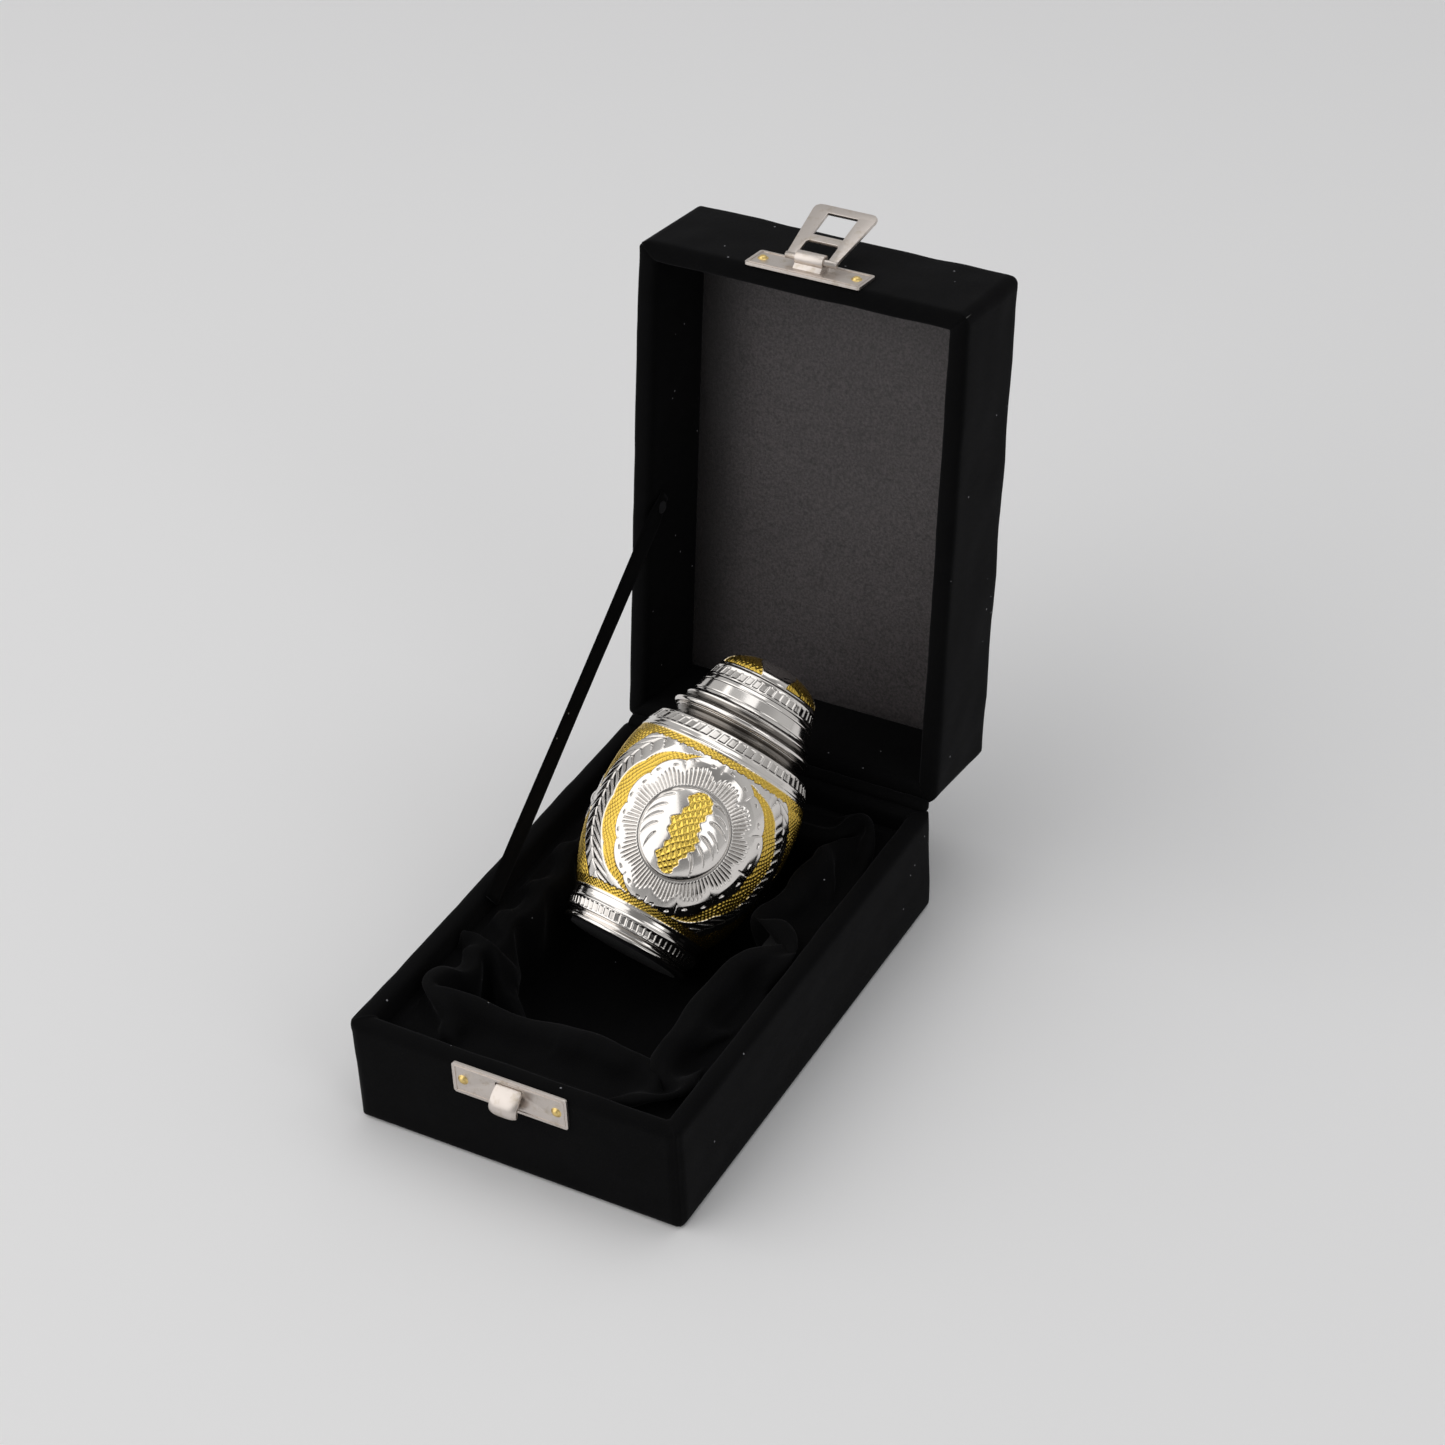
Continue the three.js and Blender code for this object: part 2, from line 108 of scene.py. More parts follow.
class Finish:
    """A material under construction: constants go on its shader, and nodes come from node()."""

    def __init__(self, name, **constants):
        self.material = bpy.data.materials.new(name)
        self.material.use_nodes = True
        self.tree = self.material.node_tree
        self.shader = self.tree.nodes["Principled BSDF"]
        for socket, value in constants.items():
            self.shader.inputs[socket.replace("_", " ")].default_value = value
        self.place = self.node("ShaderNodeTexCoord", output="Object")

    def node(self, kind, settings=None, sockets=None, output=0):
        made = self.tree.nodes.new(kind)
        for name, value in (settings or {}).items():
            if name == "stops":
                ramp = made.color_ramp
                while len(ramp.elements) < len(value):
                    ramp.elements.new(0.5)
                for element, (position, colour) in zip(ramp.elements, value):
                    element.position = position
                    element.color = (*colour, 1) if len(colour) == 3 else colour
            else:
                setattr(made, name, value)
        for name, value in (sockets or {}).items():
            if isinstance(value, Value):
                self.tree.links.new(value.socket, made.inputs[name])
            else:
                made.inputs[name].default_value = value
        return Value(self, made.outputs[output])

    def noise(self, per_metre, detail=3, roughness=0.5, stretch=None):
        at = self.place
        if stretch:
            at = self.node("ShaderNodeMapping", {}, {"Vector": at, "Scale": stretch})
        sockets = {"Vector": at, "Scale": per_metre, "Detail": detail, "Roughness": roughness}
        return self.node("ShaderNodeTexNoise", {}, sockets)

    def mix(self, share, one, other):
        sockets = {0: share, 6: (*one, 1) if isinstance(one, tuple) else one}
        sockets[7] = (*other, 1) if isinstance(other, tuple) else other
        return self.node("ShaderNodeMix", {"data_type": "RGBA"}, sockets, output=2)

    def feed(self, **links):
        for socket, value in links.items():
            self.tree.links.new(value.socket, self.shader.inputs[socket.replace("_", " ")])
        return self

    def bump(self, height, depth_m, strength=1):
        sockets = {"Height": height, "Distance": depth_m, "Strength": strength}
        return self.feed(Normal=self.node("ShaderNodeBump", {}, sockets))


def soft_box(name, place, aim, width, height, watts, colour=(1, 1, 1)):
    lamp = bpy.data.lights.new(name, "AREA")
    lamp.shape = "RECTANGLE"
    lamp.size, lamp.size_y = width, height
    lamp.energy = watts
    lamp.color = colour
    shell = bpy.data.objects.new(name, lamp)
    towards = Vector(aim) - Vector(place)
    shell.matrix_world = Matrix.Translation(place) @ towards.to_track_quat("-Z", "Y").to_matrix().to_4x4()
    bpy.context.collection.objects.link(shell)


soft_box("key_light", (-0.85, -0.75, 0.95), (0, 0.02, 0.05), 2.0, 2.0, 12.0, (1, 0.985, 0.97))
soft_box("top_light", (0.15, 0.35, 1.25), (0, 0, 0), 1.0, 0.8, 2.2)
soft_box("right_light", (1.1, -0.5, 0.7), (0, 0, 0.05), 0.5, 0.9, 1.6)

world = bpy.data.worlds.new("studio")
world.use_nodes = True
sky = world.node_tree.nodes["Background"]
sky.inputs["Color"].default_value = (1, 1, 1, 1)
# the room is dimmer behind the camera
gaze = world.node_tree.nodes.new("ShaderNodeTexCoord")
facing = world.node_tree.nodes.new("ShaderNodeVectorMath")
facing.operation = "DOT_PRODUCT"
facing.inputs[1].default_value = (0.5, -0.62, 0.6)
dimming = world.node_tree.nodes.new("ShaderNodeMapRange")
for socket, value in (("From Min", 0.6), ("From Max", 0.97), ("To Min", 0.5), ("To Max", 0.2)):
    dimming.inputs[socket].default_value = value
world.node_tree.links.new(gaze.outputs["Generated"], facing.inputs[0])
world.node_tree.links.new(facing.outputs["Value"], dimming.inputs["Value"])
world.node_tree.links.new(dimming.outputs["Result"], sky.inputs["Strength"])
bpy.context.scene.world = world
bpy.context.scene.view_settings.view_transform = "Standard"


def piece(name, points, faces, material, smooth=True, closed=True):
    """A mesh object from points in metres, with one material."""
    mesh = bpy.data.meshes.new(name)
    mesh.from_pydata(np.asarray(points, float).tolist(), [], [tuple(map(int, f)) for f in faces])
    mesh.materials.append(material)
    mesh.validate()
    if closed:
        shell = bmesh.new()
        shell.from_mesh(mesh)
        bmesh.ops.recalc_face_normals(shell, faces=shell.faces)
        shell.to_mesh(mesh)
        shell.free()
    if smooth:
        mesh.shade_smooth()
    shown = bpy.data.objects.new(name, mesh)
    bpy.context.collection.objects.link(shown)
    return shown


floor_finish = Finish("pale_floor", Base_Color=(0.86, 0.86, 0.87, 1), Roughness=0.9)
floor_finish.feed(Base_Color=floor_finish.mix(
    floor_finish.noise(3, detail=2), (0.85, 0.85, 0.86), (0.88, 0.88, 0.885)))
sweep = 3.0
floor = piece("studio_floor", [(-sweep, -sweep, -0.0004), (sweep, -sweep, -0.0004),
                               (sweep, sweep, -0.0004), (-sweep, sweep, -0.0004)],
              [(0, 1, 2, 3)], floor_finish.material, closed=False)


# ---- Boards, card and foam inside the covers ---------------------------------------------------------
# Black board makes the walls, floor and lid, thin card backs the satin, and foam fills the tray. They are
# cut flat, glued edge to edge, and hidden by the velvet once the case is made.
def board_finish(name, one, other, grain):
    finish = Finish(name, Roughness=0.9)
    speckle = finish.noise(grain, detail=4, roughness=0.7)
    finish.feed(Base_Color=finish.mix(speckle, one, other))
    finish.bump(speckle, 0.0001, 0.5)
    return finish.material


black_board = board_finish("black_board", (0.035, 0.034, 0.032), (0.06, 0.058, 0.055), 1800)
thin_card = board_finish("thin_card", (0.5, 0.47, 0.42), (0.6, 0.57, 0.52), 2600)
open_foam = board_finish("open_foam", (0.004, 0.004, 0.0045), (0.009, 0.009, 0.01), 1500)
for node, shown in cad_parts.items():
    if node.endswith("_board"):
        shown.data.materials[0] = black_board
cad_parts["lid_panel_card"].data.materials[0] = thin_card
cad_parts["insert_foam_former"].data.materials[0] = open_foam


# ---- Velvet ----------------------------------------------------------------------------------------
# Black short-pile velvet on a paper back. The pile is brushed one way here and another there, catches
# the light at a low angle, and holds a little pale lint.
def velvet_finish(name, lint=1.0, glow=0.05):
    finish = Finish(name, Roughness=0.92, Sheen_Weight=glow, Sheen_Roughness=0.35,
                    Specular_IOR_Level=0.06)
    finish.shader.inputs["Sheen Tint"].default_value = (0.8, 0.8, 0.85, 1)
    brushed = finish.noise(45, detail=3, roughness=0.55)
    pile = finish.noise(3200, detail=2, roughness=0.6)
    nap = finish.noise(260, detail=3, roughness=0.6, stretch=(1, 0.35, 1))
    shade = finish.mix(brushed * 0.6 + nap * 0.4, (0.0012, 0.0012, 0.0013), (0.0048, 0.0048, 0.0052))
    specks = finish.node("ShaderNodeTexVoronoi", {"feature": "F1"},
                         {"Vector": finish.place, "Scale": 230.0, "Randomness": 1.0})
    chosen = finish.noise(70, detail=0).above(0.56)
    speck = specks.below(0.055 * lint) * chosen
    finish.feed(Base_Color=finish.mix(speck * 0.8, shade, (0.3, 0.3, 0.32)))
    finish.bump(pile * 0.5 + nap * 0.5, 0.00025, 0.55)
    return finish.material


velvet = velvet_finish("black_velvet")


# ---- Tray cover ------------------------------------------------------------------------------------
# Velvet wrapped over the tray's boards: up the outside, over the padded rim, and down the inside. Its
# strips meet in mitred seams at the corners, and its lower edge is turned under the base.
WIDTH, LENGTH, TRAY_HEIGHT = 85.0, 127.0, 28.0
STRAIGHT, CORNER_STEPS = 44, 12


def outline(inset, corner):
    """Stations round a rounded rectangle, with the outward direction at each, starting at the right."""
    half = np.array([WIDTH / 2 - inset, LENGTH / 2 - inset])
    corner = min(corner, half.min() * 0.98)
    along = 0.5 - 0.5 * np.cos(np.linspace(0, np.pi, STRAIGHT + 1)[:-1])
    places, outwards = [], []
    for quarter in range(4):
        turn = quarter * np.pi / 2
        x, y = half if quarter % 2 == 0 else half[::-1]
        spin = np.array([[np.cos(turn), np.sin(turn)], [-np.sin(turn), np.cos(turn)]])
        side = np.stack([np.full(STRAIGHT, x), (corner - y) + along * 2 * (y - corner)], 1)
        places.append(side @ spin)
        outwards.append(np.tile([1.0, 0.0], (STRAIGHT, 1)) @ spin)
        angle = np.linspace(0, np.pi / 2, CORNER_STEPS + 1)[:-1]
        ray = np.stack([np.cos(angle), np.sin(angle)], 1)
        places.append((np.array([x - corner, y - corner]) + corner * ray) @ spin)
        outwards.append(ray @ spin)
    return np.concatenate(places), np.concatenate(outwards)


def swell(points, wave, seed):
    """A smooth, repeatable unevenness from -1 to 1 with bumps about a wave length apart."""
    draw = np.random.RandomState(seed)
    total = np.zeros(len(points))
    for _ in range(7):
        way = draw.normal(size=3)
        way /= np.linalg.norm(way)
        total += np.sin(points @ way * 2 * np.pi / wave / draw.uniform(0.7, 1.4) + draw.uniform(0, 7))
    return total / 4


def rounded_steps(path, most):
    """The same path through (inset, height) points, with none of its steps longer than most."""
    path = np.array(path, float)
    steps = [path[:1]]
    for one, two in zip(path[:-1], path[1:]):
        count = max(1, int(np.ceil(np.linalg.norm(two - one) / most)))
        steps.append(one + (two - one) * np.linspace(0, 1, count + 1)[1:, None])
    return np.concatenate(steps)


def wrapped(path, corner, closed):
    """Velvet wound round the case: each (inset, height) of the path is one ring of points."""
    rings, normals = [], []
    path = np.asarray(path, float)
    for i, (inset, height) in enumerate(path):
        before, after = path[max(i - 1, 0)], path[min(i + 1, len(path) - 1)]
        step = after - before
        step = step / (np.linalg.norm(step) + 1e-9)
        place, outward = outline(inset, max(corner - 3 * inset, 0.8))
        rings.append(np.column_stack([place, np.full(len(place), height)]))
        normals.append(np.column_stack([outward * step[1], np.full(len(place), step[0])]))
    rings, normals = np.array(rings), np.array(normals)
    count = rings.shape[1]
    faces = []
    rows = len(path) if closed else len(path) - 1
    for row in range(rows):
        low, high = row * count, (row + 1) % len(path) * count
        for i in range(count):
            j = (i + 1) % count
            faces.append((low + i, low + j, high + j, high + i))
    if not closed:
        faces.append(tuple(range(count))[::-1])
        faces.append(tuple(range((len(path) - 1) * count, len(path) * count)))
    return rings, normals, faces


def puffed(rings, normals, seed, swell_mm=0.16):
    """The wrapped velvet's unevenness: slow waves, and the small lumps of glue and padding."""
    flat = rings.reshape(-1, 3)
    lift = swell_mm * swell(flat, 26, seed) + 0.5 * swell_mm * swell(flat, 9, seed + 1)
    return (flat + normals.reshape(-1, 3) * lift[:, None]).reshape(rings.shape)


def mitre_seams(rings, normals, rim_low, rim_high, middle_y, depth=0.14, width=0.35):
    """Sinks a narrow groove into the rim along the diagonal at each corner."""
    x, y, z = rings[..., 0], rings[..., 1] - middle_y, rings[..., 2]
    diagonal = np.abs((WIDTH / 2 - np.abs(x)) - (LENGTH / 2 - np.abs(y))) / np.sqrt(2)
    on_rim = (z > rim_low) & (z < rim_high)
    sink = depth * np.exp(-((diagonal / width) ** 2)) * on_rim
    return rings - normals * sink[..., None]


RIM = [(4.95, 26.0), (4.8, 26.9), (4.35, 27.55), (3.6, 27.92), (2.5, 28.0), (1.4, 27.95),
       (0.45, 27.55), (0.1, 26.9), (0.0, 26.0)]
tray_path = rounded_steps([(5.0, 2.6), *RIM, (0.0, 1.5), (0.12, 0.6), (0.5, 0.12), (0.86, 0.02)], 1.4)
lining_path = rounded_steps([(0.86, 0.3), (0.86, 26.9), (4.1, 26.9), (4.1, 2.6)], 3.0)
path = np.concatenate([tray_path, lining_path])
rings, normals, faces = wrapped(path, 3.0, True)
skin = slice(0, len(tray_path) - 3)
rings[skin] = puffed(rings, normals, 3)[skin]
rings = mitre_seams(rings, normals, 25.5, 29, 0)
# one upright seam down the outside of the front right corner, where the wrap's ends meet
x, y = rings[..., 0], rings[..., 1]
at_corner = np.hypot(x - WIDTH / 2 + 0.9, y + LENGTH / 2 - 0.9)
outer = np.zeros(len(path), bool)
outer[skin] = path[skin, 0] < 1
sink = 0.35 * np.exp(-(((x - WIDTH / 2) - (y * -1 - LENGTH / 2)) / 0.5) ** 2) * (at_corner < 4)
rings -= normals * (sink * outer[:, None])[..., None]
tray_cover = piece("tray_velvet", rings.reshape(-1, 3) * MM, faces, velvet)
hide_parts("tray_velvet_cover")
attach(tray_cover, "tray")


# ---- Underside sheet -------------------------------------------------------------------------------
# Black leather-grained paper, cut a little smaller than the base and glued on over the turned-in velvet.
# The case stands on it.
paper = Finish("base_paper", Roughness=0.6, Specular_IOR_Level=0.3)
cells = paper.node("ShaderNodeTexVoronoi", {"feature": "DISTANCE_TO_EDGE"},
                   {"Vector": paper.place, "Scale": 900.0})
paper.feed(Base_Color=paper.mix(paper.noise(80), (0.012, 0.012, 0.013), (0.022, 0.022, 0.024)))
paper.bump(cells, 0.0002, 0.5)
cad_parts["tray_underside_sheet"].data.materials[0] = paper.material


# ---- Lid cover -------------------------------------------------------------------------------------
# The lid is wrapped in the same velvet, in one piece over its top and down its sides, then over the rim
# and up the inside walls. It's made shut, and turned open about the hinge line.
HINGE = np.array([0.0, LENGTH / 2, TRAY_HEIGHT + 0.5])
LID_OPEN = math.radians(98)
LID_TOP, CEILING = 29.0, 25.6


def opened(points):
    """Points of the shut lid, from the hinge line, carried round with it to where it stands open."""
    c, s = math.cos(-LID_OPEN), math.sin(-LID_OPEN)
    turn = np.array([[1, 0, 0], [0, c, -s], [0, s, c]])
    return np.asarray(points, float) @ turn.T + HINGE


rim = [(4.95, 2.6), (4.8, 1.65), (4.35, 0.97), (3.6, 0.6), (2.5, 0.52), (1.4, 0.56), (0.45, 0.95),
       (0.1, 1.6), (0.0, 2.5)]
crown = [(0.0, 27.0), (0.1, 27.9), (0.4, 28.5), (1.0, 28.88), (2.0, 28.98), (3.0, 29.0)]
across = [(inset, 29.0) for inset in np.arange(5, 42.1, 2.6)]
outside = rounded_steps([(5.0, 25.7), *rim, *crown], 1.4)
back = [(inset, 28.3) for inset in np.arange(41.8, 1.5, -5)]
inside = rounded_steps([(0.9, 28.3), (0.9, 1.5), (4.1, 1.5), (4.1, 25.7)], 3.0)
# from the middle of the top, down the outside, over the rim and up to the ceiling, then back inside
lid_path = np.concatenate([np.array(across)[::-1], outside[::-1], inside[::-1], np.array(back)[::-1]])
rings, normals, faces = wrapped(lid_path, 3.0, False)
normals = -normals
skin = slice(0, len(across) + len(outside) - 2)
rings[skin] = puffed(rings, normals, 11)[skin]
rings = mitre_seams(rings, normals, -1, 3.0, 0)
rings[..., 1] -= LENGTH / 2
lid_cover = piece("lid_velvet", opened(rings.reshape(-1, 3)) * MM, [f[::-1] for f in faces], velvet)
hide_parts("lid_velvet_cover")
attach(lid_cover, "case_lid")


# ---- Satin panel -----------------------------------------------------------------------------------
# Charcoal satin stretched over thin foam and a card, and pushed up into the lid. Its edges are drawn
# under the card, so it is softly crowned, with faint pulls along its sides and a shallow hollow.
satin = Finish("charcoal_satin", Roughness=0.46, Specular_IOR_Level=0.42, Sheen_Weight=0.15)
satin.shader.inputs["Anisotropic"].default_value = 0.35
threads = satin.noise(1500, detail=4, roughness=0.75, stretch=(1, 0.45, 1))
slub = satin.noise(420, detail=3, roughness=0.65, stretch=(0.35, 1, 1))
cloudy = satin.noise(28, detail=2)
grain = satin.node("ShaderNodeMapRange", {}, {"Value": threads, "From Min": 0.36, "From Max": 0.64})
across = satin.node("ShaderNodeSeparateXYZ", {}, {0: satin.place})
# painted shadow: the satin's colour darkens towards the lid's left wall, to a quarter over its last strip, where that
# wall shades it
painted_wall_shadow = satin.node("ShaderNodeMapRange", {"interpolation_type": "SMOOTHSTEP"},
                          {"Value": across, "From Min": -0.034, "From Max": -0.020, "To Min": 0.25})
tone = satin.mix((grain * 0.6 + slub * 0.2 + cloudy * 0.2) * painted_wall_shadow, (0.012, 0.011, 0.0115), (0.115, 0.1, 0.103))
satin.feed(Base_Color=tone, Roughness=0.36 + threads * 0.24)
satin.bump(threads * 0.7 + slub * 0.3, 0.0003, 0.8)


def satin_pad():
    half_x, half_y = WIDTH / 2 - 5.1, LENGTH / 2 - 5.1
    across, along = 56, 88
    u = np.sin(np.linspace(-np.pi / 2, np.pi / 2, across + 1)) * half_x
    v = np.sin(np.linspace(-np.pi / 2, np.pi / 2, along + 1)) * half_y
    x, y = np.meshgrid(u, v)
    edge = np.minimum(half_x - np.abs(x), half_y - np.abs(y))
    crown = 1 - np.exp(-edge / 2.2)
    flat = np.column_stack([x.ravel(), y.ravel(), np.zeros(x.size)])
    hollow = 0.5 * np.exp(-((x / 17) ** 2 + ((y + 4) / 26) ** 2))
    pulls = 0.10 * swell(flat * [1, 0.25, 1], 6, 21).reshape(x.shape) * np.exp(-edge / 9)
    ripple = 0.12 * swell(flat, 30, 22).reshape(x.shape)
    depth = 0.15 + crown * (0.95 + ripple - hollow) + pulls * crown
    front = np.column_stack([x.ravel(), y.ravel() - LENGTH / 2, 24.9 - depth.ravel()])
    rear = np.column_stack([x.ravel(), y.ravel() - LENGTH / 2, np.full(x.size, 24.95)])
    count, row = x.size, across + 1
    faces = []
    for j in range(along):
        for i in range(across):
            a = j * row + i
            faces.append((a, a + row, a + row + 1, a + 1))
            faces.append((count + a, count + a + 1, count + a + row + 1, count + a + row))
    loop = [*range(row), *range(2 * row - 1, count, row), *range(count - 2, count - row - 1, -1),
            *range(count - 2 * row, 0, -row)]
    for one, two in zip(loop, loop[1:] + loop[:1]):
        faces.append((one, two, count + two, count + one))
    return opened(np.concatenate([front, rear])) * MM, faces


points, faces = satin_pad()
satin_panel = piece("satin_panel", points, faces, satin.material)
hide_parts("lid_satin_panel")
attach(satin_panel, "case_lid")


# ---- Velvet lining of the recess -------------------------------------------------------------------
# One loose cut of velvet laid over the foam, pushed down into its hollow and tucked in at the walls. The
# spare cloth stands in soft folds at the front corners and in a fat lobe along the right side.
TUCK_X, TUCK_Y, INSERT_TOP, RECESS_FLOOR = 37.45, 58.45, 22.7, 3.2
RECESS = {"left": -29.0, "right": 25.0, "front": -43.0, "back": 47.0}


def ease(value, low, high):
    t = np.clip((value - low) / (high - low), 0, 1)
    return t * t * (3 - 2 * t)


def lining_start(across, along):
    """The cut of velvet as it is first pressed into the hollow, before its spare cloth settles."""
    x, y = np.meshgrid(np.linspace(-TUCK_X, TUCK_X, across + 1), np.linspace(-TUCK_Y, TUCK_Y, along + 1))
    flat = np.column_stack([x.ravel(), y.ravel(), np.zeros(x.size)])
    depth = np.minimum(np.minimum(x - RECESS["left"], RECESS["right"] - x),
                       np.minimum(y - RECESS["front"], RECESS["back"] - y))
    slack = 4.2 + 1.3 * swell(flat, 40, 32).reshape(x.shape)
    z = INSERT_TOP - (INSERT_TOP - RECESS_FLOOR) * ease(depth, 0.0, slack)
    z += 0.5 * (1 + swell(flat, 15, 33).reshape(x.shape))
    # a corner of the cut stands up against the left wall, and its edge runs down into the hollow
    run = np.clip((x + 37.4) / 23, -0.2, 1.1)
    off = np.abs(y + 24 + 6 * run**2)
    tent = np.interp(run, (-0.2, 0, 0.45, 1, 1.1), (28.6, 28.4, 24.5, 13, 9)) - 1.7 * off
    z = np.clip(z, tent, None)
    edge = np.minimum(TUCK_X - np.abs(x), TUCK_Y - np.abs(y))
    z = np.where(edge < 0.2, INSERT_TOP - 2.5, z)
    faces = [(j * (across + 1) + i, j * (across + 1) + i + 1, (j + 1) * (across + 1) + i + 1,
              (j + 1) * (across + 1) + i) for j in range(along) for i in range(across)]
    return np.column_stack([x.ravel(), y.ravel(), z.ravel()]), faces, edge.ravel()


# ---- Urn: how it stands ----------------------------------------------------------------------------
# The little urn leans back in the recess, its foot on the velvet and its shoulder over the recess's rear
# edge. It is turned, spun and engraved upright, then laid back.
URN_FOOT = np.array([-6.76, -1.49, 16.1])
LEAN, YAW = math.radians(36.3), math.radians(10.2)


def leaned(points):
    """Points of the upright urn, from the centre of its foot, carried to where it lies."""
    c, s = math.cos(LEAN - math.pi / 2), math.sin(LEAN - math.pi / 2)
    back = np.array([[1, 0, 0], [0, c, -s], [0, s, c]])
    c, s = math.cos(-YAW), math.sin(-YAW)
    turn = np.array([[c, -s, 0], [s, c, 0], [0, 0, 1]])
    return np.asarray(points, float) @ (turn @ back).T + URN_FOOT


def upright(points):
    """The other way: points where the urn lies, carried back to the upright urn."""
    c, s = math.cos(LEAN - math.pi / 2), math.sin(LEAN - math.pi / 2)
    back = np.array([[1, 0, 0], [0, c, -s], [0, s, c]])
    c, s = math.cos(-YAW), math.sin(-YAW)
    turn = np.array([[c, -s, 0], [s, c, 0], [0, 0, 1]])
    return (np.asarray(points, float) - URN_FOOT) @ (turn @ back)


# belly between the base mouldings and the shoulder, as (height above the foot, radius)
BELLY = [(7.8, 17.1), (12, 19.4), (17, 21.4), (23.5, 22.95), (30, 23.65), (36, 23.8), (42, 23.35),
         (47.5, 22.2), (50.2, 21.1)]
belly_curve = np.polyfit(*np.array(BELLY).T, 5)


def vessel_radius(s):
    return np.where(s < 7.8, 16.9, np.where(s > 50.2, 21.1, np.polyval(belly_curve, np.clip(s, 7.8, 50.2))))


def kept_out(cloth):
    """Moves points of the cloth out of the foam, the floor, the walls and the urn."""
    x, y, z = cloth[..., 0], cloth[..., 1], cloth[..., 2]
    beside_x = np.maximum(np.maximum(RECESS["left"] - x, x - RECESS["right"]), 0)
    beside_y = np.maximum(np.maximum(RECESS["front"] - y, y - RECESS["back"]), 0)
    sunk = np.where(np.maximum(beside_x, beside_y) > 0, INSERT_TOP - z, 0)
    rise = (sunk > 0) & (np.maximum(beside_x, beside_y) >= sunk)
    aside = (sunk > 0) & ~rise
    z[rise] = INSERT_TOP
    x[aside] = np.clip(x[aside], RECESS["left"], RECESS["right"])
    y[aside] = np.clip(y[aside], RECESS["front"], RECESS["back"])
    np.clip(x, -TUCK_X, TUCK_X, out=x)
    np.clip(y, -TUCK_Y, TUCK_Y, out=y)
    np.clip(z, RECESS_FLOOR, 28.6, out=z)
    local = upright(cloth.reshape(-1, 3)).reshape(cloth.shape)
    radius = np.hypot(local[..., 0], local[..., 1])
    hit = (radius < vessel_radius(local[..., 2]) + 0.5) & (local[..., 2] > -1.4) & (local[..., 2] < 52)
    z[hit] = np.maximum(z[hit] - 0.5, 2.7)


def settled(start, growth, held, steps):
    """Where the velvet lies once its spare length has buckled and sunk: threads that keep their length,
    a little stiffness against bending, weight, and what it can't pass through."""
    links = []
    for down, right, firm in ((0, 1, 0.45), (1, 0, 0.45), (1, 1, 0.16), (1, -1, 0.16), (0, 3, 0.1), (3, 0, 0.1),
                              (0, 6, 0.07), (6, 0, 0.07)):
        rows, columns = start.shape[0] - down, start.shape[1] - abs(right)
        one = (slice(0, rows), slice(max(0, -right), max(0, -right) + columns))
        two = (slice(down, down + rows), slice(max(0, right), max(0, right) + columns))
        length = np.linalg.norm(start[one] - start[two], axis=-1) * (1 + (growth[one] + growth[two]) / 2)
        links.append((one, two, length, firm))
    cloth, before = start.copy(), start.copy()
    for _ in range(steps):
        drift = (cloth - before) * 0.9
        before = cloth.copy()
        cloth += drift
        cloth[..., 2] -= 0.012
        for _ in range(3):
            for one, two, length, firm in links:
                gap = cloth[two] - cloth[one]
                now = np.linalg.norm(gap, axis=-1)
                pull = gap * (firm * (1 - length / np.maximum(now, 1e-6)))[..., None]
                cloth[one] += pull * 0.5
                cloth[two] -= pull * 0.5
            cloth[held] = start[held]
        kept_out(cloth)
    return cloth


cloth, faces, edge = lining_start(90, 132)
x, y = cloth[:, 0], cloth[:, 1]
growth = 0.07 + 0.2 * np.exp(-(((x + 27) / 10) ** 2 + ((y + 38) / 12) ** 2))
growth += 0.26 * np.exp(-((x - 25) / 7) ** 2) * ease(y, -50, -30) * (1 - ease(y, 30, 50))
growth += 0.2 * np.exp(-(((x - 8) / 15) ** 2 + ((y + 45) / 7) ** 2))
growth *= ease(edge, 0.3, 5)
held = (edge < 0.5) | ((x < -35.5) & (np.abs(y + 24) < 1.2))
shape = (133, 91)
cloth = settled(cloth.reshape(*shape, 3), growth.reshape(shape), held.reshape(shape), 260)
cloth = cloth.reshape(-1, 3)
recess_velvet = piece("recess_velvet", cloth * MM, faces, velvet_finish("lining_velvet", 0.7, 0.045),
                      closed=False)
subdivide = recess_velvet.modifiers.new("finer", "SUBSURF")
subdivide.levels = subdivide.render_levels = 1
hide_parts("insert_velvet_lining")
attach(recess_velvet, "tray")


# ---- Clasp -----------------------------------------------------------------------------------------
# Stamped sheet brass, nickel plated and a little rubbed: a keeper with a curled hook on the tray, and a
# plate with a knuckle on the lid that carries the swinging hasp. Two brass pins hold each plate.
LATCH_X = 0.5
PLATE_HALF, PLATE_HEIGHT, PLATE_THICK = 14.75, 8.6, 0.7


def plated_finish(name, tint, worn):
    finish = Finish(name, Metallic=1.0, Roughness=0.28)
    rubbed = finish.noise(420, detail=4, roughness=0.65)
    scratches = finish.noise(2600, detail=2, roughness=0.5, stretch=(0.06, 1, 1))
    wear = finish.node("ShaderNodeValToRGB", {"stops": [(0.52, (0, 0, 0)), (0.72, (1, 1, 1))]},
                       {"Fac": rubbed})
    finish.feed(
        Base_Color=finish.mix(wear, tint, worn),
        Roughness=0.25 + rubbed * 0.16 + scratches * 0.08,
    )
    finish.bump(scratches * 0.6 + rubbed * 0.4, 0.00004, 0.35)
    return finish.material


nickel_plate = plated_finish("nickel_plate", (0.68, 0.62, 0.575), (0.56, 0.49, 0.41))
pin_brass = plated_finish("pin_brass", (0.83, 0.62, 0.24), (0.62, 0.44, 0.16))


